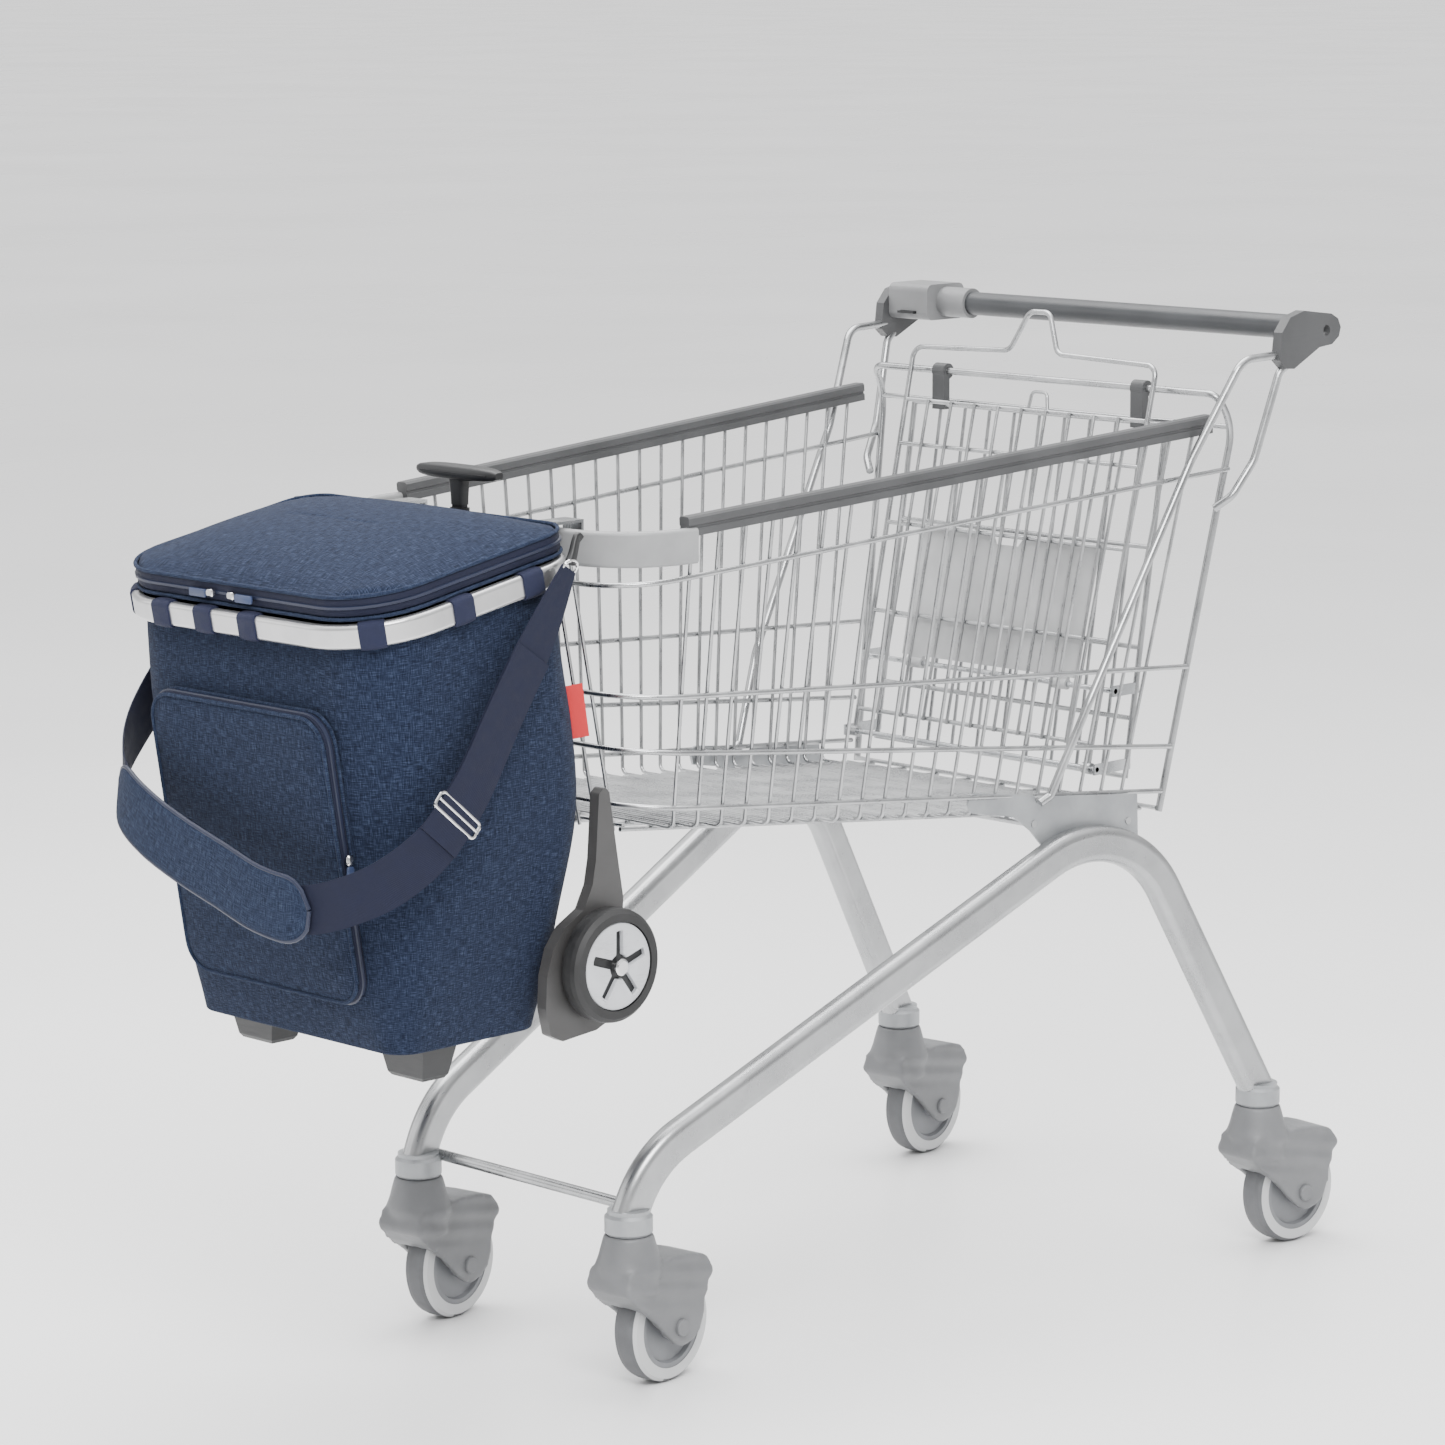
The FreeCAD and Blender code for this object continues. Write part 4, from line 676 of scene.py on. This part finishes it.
def lidOutline(inset, height):
    k = lidLook
    return outline(k["half"] - inset, k["front"] + inset, k["back"] - inset,
                   max(k["frontBend"] - inset * 0.55, 12), max(k["backBend"] - inset * 0.3, 10), height)


def bagLid():
    k = lidLook
    edge = k["zipHigh"]
    rings = [lidOutline(7, k["zipLow"]), lidOutline(1, k["zipLow"]), lidOutline(0.5, 18),
             lidOutline(0, 26), lidOutline(0, 34), lidOutline(1.5, edge)]
    for inset in (4, 9, 16, 26, 38, 52, 68, 84, 100, 114, 125, 131):
        ring = lidOutline(inset, edge)
        for p in ring:
            across = abs(p.x) / (k["half"] - 1)
            deep = abs(p.y - (k["front"] + k["back"]) / 2) / ((k["back"] - k["front"]) / 2 - 1)
            swell = max(0.0, (1 - across ** 2.8) * (1 - deep ** 2.6))
            p.z += (k["crown"] - edge) * swell ** 0.72
        rings.append(ring)
    under = [lidOutline(i, z) for i, z in ((130, 50), (90, 46), (40, 36), (12, 28), (8, 14))]
    rings = [[lidPlace(p) for p in ring] for ring in under + rings]
    obj = Piece("bag_lid_fabric").rings(rings).done(
        "fabricNavy", "bag_fabric", "bag_lid", ["bag_lid"], sharp=75, ride=False)
    flatUv(obj, 0, 1)
    top = 40 * mm

    def pinned(co):
        y = co.y / mm - middle
        above = co.z - rimHeight(y) * mm
        return 1.0 if above < top else 0.0

    settle(obj, pinned, k)
    refine(obj)
    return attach(obj, "bag_lid")


def piping(name, path, radius, skin, body, loop=True, slotName="bag_fabric"):
    if loop:
        ringsOf = []
        n = len(path)
        for i in range(n):
            along = unit(path[(i + 1) % n] - path[i - 1])
            rise = unit(Vector((0, 0, 1)) - along * along.z)
            side = along.cross(rise)
            ringsOf.append([path[i] + side * x + rise * y for x, y in circle(radius, 8)])
        piece = Piece(name).rings(ringsOf, loop=True)
    else:
        piece = Piece(name).sweep(path, circle(radius, 8))
    return piece.done(skin, slotName, body)


def lidZip():
    ring = lambda inset, height: [lidPlace(p) for p in lidOutline(inset, height)]
    piping("bag_lid_edge_piping", ring(-1.2, 38), 2.1, "padNavy", "bag_lid")
    piping("bag_lid_low_piping", ring(-1.4, 16), 1.9, "padNavy", "bag_lid")
    band = Piece("bag_lid_zip_tape").rings([ring(-0.8, 19), ring(-1.5, 21), ring(-1.5, 34), ring(-0.8, 36)],
                                           caps=False)
    band.done("webbingNavy", "webbing", "bag_lid")
    coil = Piece("bag_lid_zip_coil").rings(
        [ring(-1.3, 25.5), ring(-2.9, 26.2), ring(-2.9, 28.8), ring(-1.3, 29.5)], caps=False)
    coil.done("zipBlue", "webbing", "bag_lid")


def sliderAt(name, centre, along, out, body, skin="chrome"):
    # a zip slider with a soft tab hanging from it
    along, out = unit(Vector(along)), unit(Vector(out))
    down = unit(along.cross(out))
    down = -down if down.z > 0 else down
    centre = Vector(centre)
    box = roundedBox(11, 8, 2.6)
    rings = []
    for depth, scale in ((0, 0.8), (1.5, 1.0), (4.2, 0.96), (5.4, 0.7)):
        rings.append([centre + along * x * scale + down * y * scale + out * depth for x, y in box])
    Piece(name).rings(rings).done(skin, "alloy", body)
    tab = roundedBox(26, 8, 2.2)
    start = centre + along * 19 + out * 3.4 + down * 1.5
    rings = []
    for depth, scale in ((-1.3, 0.92), (-0.7, 1.0), (0.7, 1.0), (1.3, 0.92)):
        rings.append([start + along * x * scale + down * y * scale + out * depth for x, y in tab])
    Piece(name + "_tab").rings(rings).done("pullBlue", "webbing", body)


pocketLook = dict(half=132, height=292, depth=22, bend=30, turn=math.atan2(46, 291), spot=(0, -613, 453),
                  pressure=2.5, steps=16, cap=5.0, stiff=24)


def pocketPlace(x, out, up):
    # pocket coordinates (across, outwards, up) to the bag
    a = pocketLook["turn"]
    ox, oy, oz = pocketLook["spot"]
    return Vector((ox + x, oy - out * math.cos(a) - up * math.sin(a),
                   oz + up * math.cos(a) - out * math.sin(a)))


def pocketRing(inset, out, per=8, side=16):
    k = pocketLook
    w, h, r = k["half"] - inset, k["height"] / 2 - inset, max(k["bend"] - inset * 0.7, 8)
    flat = []
    for i, (sx, sz) in enumerate(((1, 1), (-1, 1), (-1, -1), (1, -1))):
        for j in range(per + 1):
            a = math.pi / 2 * (i + j / per)
            flat.append(Vector((sx * (w - r) + r * math.cos(a), sz * (h - r) + r * math.sin(a))))
        nx, nz = ((-1, 1), (-1, -1), (1, -1), (1, 1))[i]
        a = math.pi / 2 * (i + 1)
        goal = Vector((nx * (w - r) + r * math.cos(a), nz * (h - r) + r * math.sin(a)))
        last = flat[-1]
        flat.extend(last.lerp(goal, j / side) for j in range(1, side))
    return [pocketPlace(p.x, out, p.y + k["height"] / 2) for p in flat]


def bagPocket():
    rings = [pocketRing(4, -6), pocketRing(0.5, 0), pocketRing(0, 6), pocketRing(0, 15),
             pocketRing(1.5, 19.5), pocketRing(6, 20.5)]
    for inset, out in ((11, 21.6), (18, 22.4), (28, 23.2), (42, 24), (58, 24.6), (76, 25), (94, 25.3),
                       (110, 25.4), (124, 25.5)):
        rings.append(pocketRing(inset, out))
    obj = Piece("bag_pocket_fabric").rings(rings).done(
        "fabricNavy", "bag_fabric", "bag", ["bag_pocket"], sharp=75, ride=False)
    flatUv(obj, 0, 2)
    front = pocketPlace(0, 20.8, 0)

    def pinned(co):
        p = co / mm - Vector((0, middle, 0))
        out = (front - p).y * math.cos(pocketLook["turn"]) + (front - p).z * math.sin(pocketLook["turn"])
        return 1.0 if out < 0.4 else 0.0

    settle(obj, pinned, pocketLook)
    refine(obj)
    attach(obj, "bag")
    piping("bag_pocket_outer_piping", pocketRing(-1.2, 6), 2.2, "padNavy", "bag")
    piping("bag_pocket_inner_piping", pocketRing(1.2, 19.5), 2.2, "padNavy", "bag")
    tape = [pocketRing(-0.4, 8), pocketRing(-1.3, 9), pocketRing(-1.3, 16.5), pocketRing(-0.4, 17.5)]
    Piece("bag_pocket_zip_tape").rings(tape, caps=False).done("webbingNavy", "webbing", "bag")
    coil = [pocketRing(-1.2, 11), pocketRing(-2.8, 11.8), pocketRing(-2.8, 14), pocketRing(-1.2, 14.8)]
    Piece("bag_pocket_zip_coil").rings(coil, caps=False).done("zipBlue", "webbing", "bag")


strapStations = [  # x, y, z of the band's middle and the compass angle its face looks to
    (217, -432, 868, 0), (219, -470, 810, 0), (220, -520, 738, 0), (221, -566, 668, -5),
    (221, -610, 622, -18), (208, -655, 590, -40), (178, -688, 570, -62), (133, -704, 558, -80),
    (80, -709, 562, -90), (20, -709, 578, -90), (-40, -708, 594, -90), (-96, -705, 612, -92),
    (-141, -697, 632, -104), (-178, -675, 656, -130), (-206, -634, 690, -160),
    (-216, -580, 742, -178), (-217, -520, 800, -180), (-216, -464, 850, -180), (-216, -432, 872, -180)]
strapLook = dict(width=48, thickness=2.2, padWidth=64, padThickness=6.5, padOut=5.2, sliderStep=24)


def bandFrames(stations, perSpan=7):
    # centre, across and facing at every step along a flat band
    points = spline([s[:3] for s in stations], perSpan)
    looks = spline([(s[3], 0, 0) for s in stations], perSpan)
    found = []
    for i, p in enumerate(points):
        along = unit(points[min(i + 1, len(points) - 1)] - points[max(i - 1, 0)])
        a = math.radians(looks[i].x)
        facing = Vector((math.cos(a), math.sin(a), 0))
        across = unit(facing.cross(along))
        found.append((p, across, unit(along.cross(across))))
    return found


def bandPiece(name, steps, width, section, skin, slotName, grow=None, off=0.0):
    rings = []
    for i, (p, across, facing) in enumerate(steps):
        w, t = grow(i / (len(steps) - 1)) if grow else (1.0, 1.0)
        rings.append([p + facing * (off + y * t) + across * x * w for x, y in section])
    return Piece(name).rings(rings).done(skin, slotName, "bag", sharp=50)


def strapSection(width, thick, parts=12):
    # flat band with rounded edges and a slight crown
    top = [(-width / 2 + width * k / parts, thick / 2 * (1 - 0.35 * (2 * k / parts - 1) ** 8))
           for k in range(parts + 1)]
    return top + [(x, -y) for x, y in reversed(top)]


def strapPieces():
    k = strapLook
    steps = bandFrames(strapStations)

    def narrowEnd(t):
        return 1 - 0.58 * max(0.0, 1 - t / 0.09) ** 1.4 - 0.58 * max(0.0, (t - 0.91) / 0.09) ** 1.4, 1.0

    def roundEnd(t):
        past = 1 - t / 0.12 if t < 0.5 else (t - 0.88) / 0.12
        width = math.sqrt(max(0.0, 1 - max(0.0, past) ** 2.4)) * 0.98 + 0.02
        return width, 0.55 + 0.45 * min(1.0, t / 0.05, (1 - t) / 0.05)

    strap = bandPiece("bag_strap_webbing", steps, k["width"], strapSection(k["width"], k["thickness"]),
                      "webbingNavy", "webbing", narrowEnd)
    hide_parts("bag_strap")
    doubled = bandFrames(strapStations[:5])[9:]
    bandPiece("bag_strap_return", doubled, k["width"], strapSection(k["width"], 1.8), "webbingNavy",
              "webbing", off=2.1)
    padSteps = bandFrames(strapStations[6:14], 9)[7:-4]
    pad = bandPiece("bag_strap_pad_fabric", padSteps, k["padWidth"],
                    strapSection(k["padWidth"], k["padThickness"], 18), "padNavy", "pad_fabric", roundEnd,
                    k["padOut"])
    refine(pad)
    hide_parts("bag_strap_pad")
    edge = []
    for sign in (1, -1):
        ringSteps = list(enumerate(padSteps))
        for i, (p, across, facing) in (ringSteps if sign > 0 else reversed(ringSteps)):
            w = roundEnd(i / (len(padSteps) - 1))[0]
            edge.append(p + facing * k["padOut"] + across * sign * (k["padWidth"] / 2 * w))
    piping("bag_strap_pad_binding", edge, 2.3, "zipBlue", "bag", slotName="pad_fabric")


def strapLoops():
    # webbing tabs wrapped round the frame ring
    places = [(-105, -674, 0), (-40, -674, 0), (28, -674, 0), (178, -649, 45), (202, -560, 90),
              (202, -470, 90), (-178, -649, -45), (-202, -560, 90), (-202, -470, 90)]
    tilt = Matrix.Rotation(rimTilt, 3, "X")
    loops = Piece("bag_frame_loop_webbing")
    for x, y, turn in places:
        spin = tilt @ Matrix.Rotation(math.radians(turn), 3, "Z")
        centre = Vector((x, y, rimHeight(y)))
        profile = roundedBox(16.5, 27.5, 5.5, 5)
        rings = []
        for across, inset in ((-13, 1.3), (-12.6, 0.3), (-11, 0), (0, -0.5),
                              (11, 0), (12.6, 0.3), (13, 1.3)):
            rings.append([centre + spin @ Vector((across, py * (1 - inset / 8), pz * (1 - inset / 13)))
                          for py, pz in profile])
        loops.rings(rings)
    loops.done("loopNavy", "webbing", "bag", ["bag_frame_loops"])


def sideTag():
    # folded ribbon in the rear side seam, plain
    rings = []
    top, low = Vector((184, -402, 746)), Vector((184, -393, 692))
    for share, out in ((0, 0.3), (0.04, 1.4), (0.5, 1.9), (0.96, 1.4), (1, 0.3)):
        p = top.lerp(low, share)
        reach = Vector((0.62, 0.76, 0.18)).normalized()
        thick = Vector((0.76, -0.62, 0)).normalized()
        rings.append([p - reach * 5 - thick * out, p + reach * 8 - thick * out, p + reach * 13,
                      p + reach * 8 + thick * out, p - reach * 5 + thick * out])
    Piece("bag_side_tag").rings(rings).done("tagRed", "webbing", "bag")


def strapHardware():
    # slider frame on the band, and a snap hook with its ring at each end
    p, across, facing = bandFrames(strapStations)[strapLook["sliderStep"]]
    along = unit(across.cross(facing))
    frame = [p + facing * 1.2 + across * x + along * y for x, y in roundedBox(57, 17, 4)]
    slider = piping("bag_strap_slider", frame, 1.9, "chrome", "bag", slotName="alloy")
    middleBar = [p + facing * 2.4 + across * x for x in (-27, -9, 9, 27)]
    Piece("bag_strap_slider_bar").sweep(middleBar, circle(1.6, 10)).done("chrome", "alloy", "bag")
    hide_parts("bag_strap_hardware")
    for side, name in ((1, "left"), (-1, "right")):
        top, low = Vector((side * 213, -417, 897)), Vector((side * 216, -430, 868))
        ring = [low + Vector((side * math.cos(a) * 3, math.sin(a) * 10, math.cos(a) * 8))
                for a in (2 * math.pi * i / 20 for i in range(20))]
        piping("bag_snap_ring_" + name, ring, 1.6, "chrome", "bag", slotName="alloy")
        path = spline([low + Vector((0, 1, 5)), low.lerp(top, 0.45), top, top + Vector((0, 5, -2))], 6)
        hook = Piece("bag_snap_hook_" + name)
        hook.sweep(path, roundedBox(8, 12, 3), grow=lambda t: 1.0 - 0.35 * t)
        hook.done("black", "alloy", "bag")


gripLook = dict(y=-380, z=941, width=23, height=15, bend=6.2)


def poleGrip():
    # slim tapered grip across the top of the pole
    k = gripLook
    path = [Vector((x, k["y"], k["z"])) for x in range(-60, 61, 5)]
    taper = lambda t: 0.45 + 0.55 * max(0.0, 1 - abs(2 * t - 1) ** 3.2) ** 0.6
    section = roundedBox(k["width"], k["height"], k["bend"], 5)
    grip = Piece("pole_grip_shell").sweep(path, section, grow=taper)
    grip.sweep([Vector((0, k["y"], z)) for z in (908, 916, 926, 938)], roundedBox(18, 12, 4),
               up=(0, 1, 0), grow=lambda t: 1.0 + 0.25 * t * t)
    grip.done("black", "pole_black", "pole", ["pole_grip"])
    seam = [Vector((x, k["y"] - 11.3 + 0.02 * abs(x), k["z"])) for x in range(-50, 51, 10)]
    Piece("pole_grip_seam").sweep(seam, circle(0.6, 8)).done("poleBlack", "pole_black", "pole")


coverLook = dict(x=227.8, y=-379, z=466, rim=44.0, count=200, arm=4.6, tip=36, hub=12.5)


def wheelCover(side, name):
    # domed disc with a five-armed star opening and a dark dish behind it
    k = coverLook
    centre = Vector((side * k["x"], k["y"], k["z"]))
    rim, count = k["rim"], k["count"]

    def ringOf(radius, height):
        return [centre + Vector((side * height, radius(a) * math.cos(a), radius(a) * math.sin(a)))
                for a in (2 * math.pi * i / count for i in range(count))]

    def star(a):
        apart = abs((a - math.pi / 2 + math.pi / 5) % (2 * math.pi / 5) - math.pi / 5)
        arm = k["arm"] / max(math.sin(apart), 0.02)
        tip = k["tip"] - 26 * max(0.0, apart - 0.04) ** 1.5
        return max(k["hub"], min(arm, tip))

    grown = lambda a: star(a) + 1.3
    blend = lambda share: (lambda a: lerp(grown(a), rim - 6, share))
    rings = [ringOf(star, -4.5), ringOf(star, 0.4), ringOf(grown, 1.5), ringOf(blend(0.4), 1.5),
             ringOf(blend(0.8), 1.0), ringOf(blend(1.0), 0.6), ringOf(lambda a: rim - 0.8, -0.9),
             ringOf(lambda a: rim, -1.8), ringOf(lambda a: rim, -3.8)]
    Piece("bag_wheel_cover_" + name).rings(rings, caps=False).done(
        "capSilver", "cap_silver", "bag_wheel_" + name, ["bag_wheel_cap_" + name], sharp=30)
    dish = Piece("bag_wheel_dish_" + name)
    dish.turned(centre, (side, 0, 0), [(5.2, -3.2), (38, -3.6), (41, -4.2), (5.2, -4.6)], closed=True)
    dish.done("black", "hub_plastic", "bag_wheel_" + name)


bagBody()
bagLid()
lidZip()
for name, x in (("bag_lid_slider_left", 2), ("bag_lid_slider_right", -30)):
    sliderAt(name, lidPlace(Vector((x, -670, 27))), (1 if x > 0 else -1, 0, 0), (0, -1, 0), "bag_lid")
bagPocket()
sliderAt("bag_pocket_slider", pocketPlace(135, 12.5, 150), (0.05, -0.15, -1), (1, 0, 0), "bag")
strapPieces()
strapLoops()
sideTag()
strapHardware()
poleGrip()
wheelCover(1, "left")
wheelCover(-1, "right")
print("bag fabric made")


forkLook = dict(voxel=0.0021, passes=10, fold=0.0026, foldPitch=0.021, pivotIn=0.034,
                foldHeight=0.108, foldRise=0.05, foldSpread=0.024, slant=0.22)    # metres


def softFork(place):
    # one moulded hood: even mesh, eased corners, shallow slanting folds
    k = forkLook
    source = nodes["castor_fork_" + place]
    obj = bpy.data.objects.new("castor_hood_" + place, source.data.copy())
    scene.collection.objects.link(obj)
    mesh = obj.modifiers.new("even", "REMESH")
    mesh.mode, mesh.voxel_size = "VOXEL", k["voxel"]
    relax = obj.modifiers.new("relax", "SMOOTH")
    relax.factor, relax.iterations = 0.5, k["passes"]
    shaped = obj.evaluated_get(bpy.context.evaluated_depsgraph_get())
    solid = bpy.data.meshes.new_from_object(shaped)
    obj.modifiers.clear()
    obj.data = solid
    low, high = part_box("castor_fork_" + place)
    pivotY = low.y + k["pivotIn"]
    normals = [v.normal.copy() for v in solid.vertices]
    for v, normal in zip(solid.vertices, normals):
        reach = v.co.y - pivotY
        wide = math.exp(-((v.co.z - k["foldHeight"] - k["foldRise"] * reach) / k["foldSpread"]) ** 2)
        wave = math.sin((v.co.z + k["slant"] * reach) / k["foldPitch"] * 2 * math.pi)
        if normal.z > -0.6:
            v.co += normal * k["fold"] * wide * (0.5 + 0.5 * wave)
    for face in solid.polygons:
        face.use_smooth = True
    solid.materials.clear()
    solid.materials.append(skins["castorGrey"])
    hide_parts("castor_fork_" + place)
    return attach(obj, "castor_" + place)


for place in ("front_left", "front_right", "rear_left", "rear_right"):
    softFork(place)
print("castor hoods made")


def softLight(name, spot, target, power, size, colour=(1, 1, 1)):
    data = bpy.data.lights.new(name, "AREA")
    data.energy, data.shape, data.color = power, "RECTANGLE", colour
    data.size, data.size_y = size
    obj = bpy.data.objects.new(name, data)
    obj.location = spot
    obj.rotation_euler = (Vector(target) - Vector(spot)).to_track_quat("-Z", "Y").to_euler()
    scene.collection.objects.link(obj)


def paleFloor(reach=140.0, step=5.0):
    rows = int(2 * reach / step) + 1
    verts = [(-reach + i * step, -reach + j * step, 0) for j in range(rows) for i in range(rows)]
    faces = [(j * rows + i, j * rows + i + 1, (j + 1) * rows + i + 1, (j + 1) * rows + i)
             for j in range(rows - 1) for i in range(rows - 1)]
    data = bpy.data.meshes.new("studioFloor")
    data.from_pydata(verts, [], faces)
    mat = Mat("floorPale", Roughness=0.32, Specular_IOR_Level=0.4)
    cloud = mat.noise(mat.place(), 0.7, 3.0)
    mat.feed("Base Color", mat.mix(cloud, (0.90, 0.90, 0.90), (0.93, 0.93, 0.93)))
    mat.feed("Roughness", mat.range(cloud, 0.3, 0.7, 0.24, 0.32))
    data.materials.append(mat.data)
    obj = bpy.data.objects.new("studioFloor", data)
    scene.collection.objects.link(obj)


def studioWorld(stops, strength):
    world = bpy.data.worlds.new("studio")
    world.use_nodes = True
    scene.world = world
    tree = world.node_tree
    back = tree.nodes["Background"]
    spot = tree.nodes.new("ShaderNodeTexCoord")
    split = tree.nodes.new("ShaderNodeSeparateXYZ")
    ramp = tree.nodes.new("ShaderNodeValToRGB")
    for i, (place, level) in enumerate(stops):
        stop = ramp.color_ramp.elements[i] if i < 2 else ramp.color_ramp.elements.new(place)
        stop.position, stop.color = place, (level, level, level * 1.005, 1)
    tree.links.new(spot.outputs["Generated"], split.inputs[0])
    tree.links.new(split.outputs["Z"], ramp.inputs["Fac"])
    tree.links.new(ramp.outputs["Color"], back.inputs["Color"])
    back.inputs["Strength"].default_value = strength


paleFloor()
studioWorld([(0.0, 0.75), (1.0, 1.6), (0.1, 0.42), (0.5, 0.62)], 1.75)
softLight("keyLight", (2.6, -2.2, 3.4), (0, -0.1, 0.6), 210, (2.2, 1.6))
softLight("topLight", (-0.8, 0.4, 3.8), (0, 0, 0.6), 200, (3.4, 3.0))
softLight("fillLight", (-3.2, -2.8, 1.9), (0, 0, 0.6), 30, (2.4, 2.0))

cameraLook = dict(lens=119.32, spot=(3.60248, -3.56418, 1.49364), yaw=45.377, pitch=9.576, roll=-0.00377)
cameraData = bpy.data.cameras.new("camera")
cameraData.sensor_width = 36
cameraData.lens = cameraLook["lens"]
camera = bpy.data.objects.new("camera", cameraData)
scene.collection.objects.link(camera)
yaw, pitch = math.radians(cameraLook["yaw"]), math.radians(cameraLook["pitch"])
spotX, spotY, spotZ = cameraLook["spot"]
look = Vector((-math.sin(yaw) * math.cos(pitch), math.cos(yaw) * math.cos(pitch), -math.sin(pitch)))
camera.matrix_world = (Matrix.Translation((spotX, spotY + middle * mm, spotZ))
                       @ look.to_track_quat("-Z", "Y").to_matrix().to_4x4()
                       @ Matrix.Rotation(cameraLook["roll"], 4, "Z"))
scene.camera = camera
print("floor, lights and camera placed")
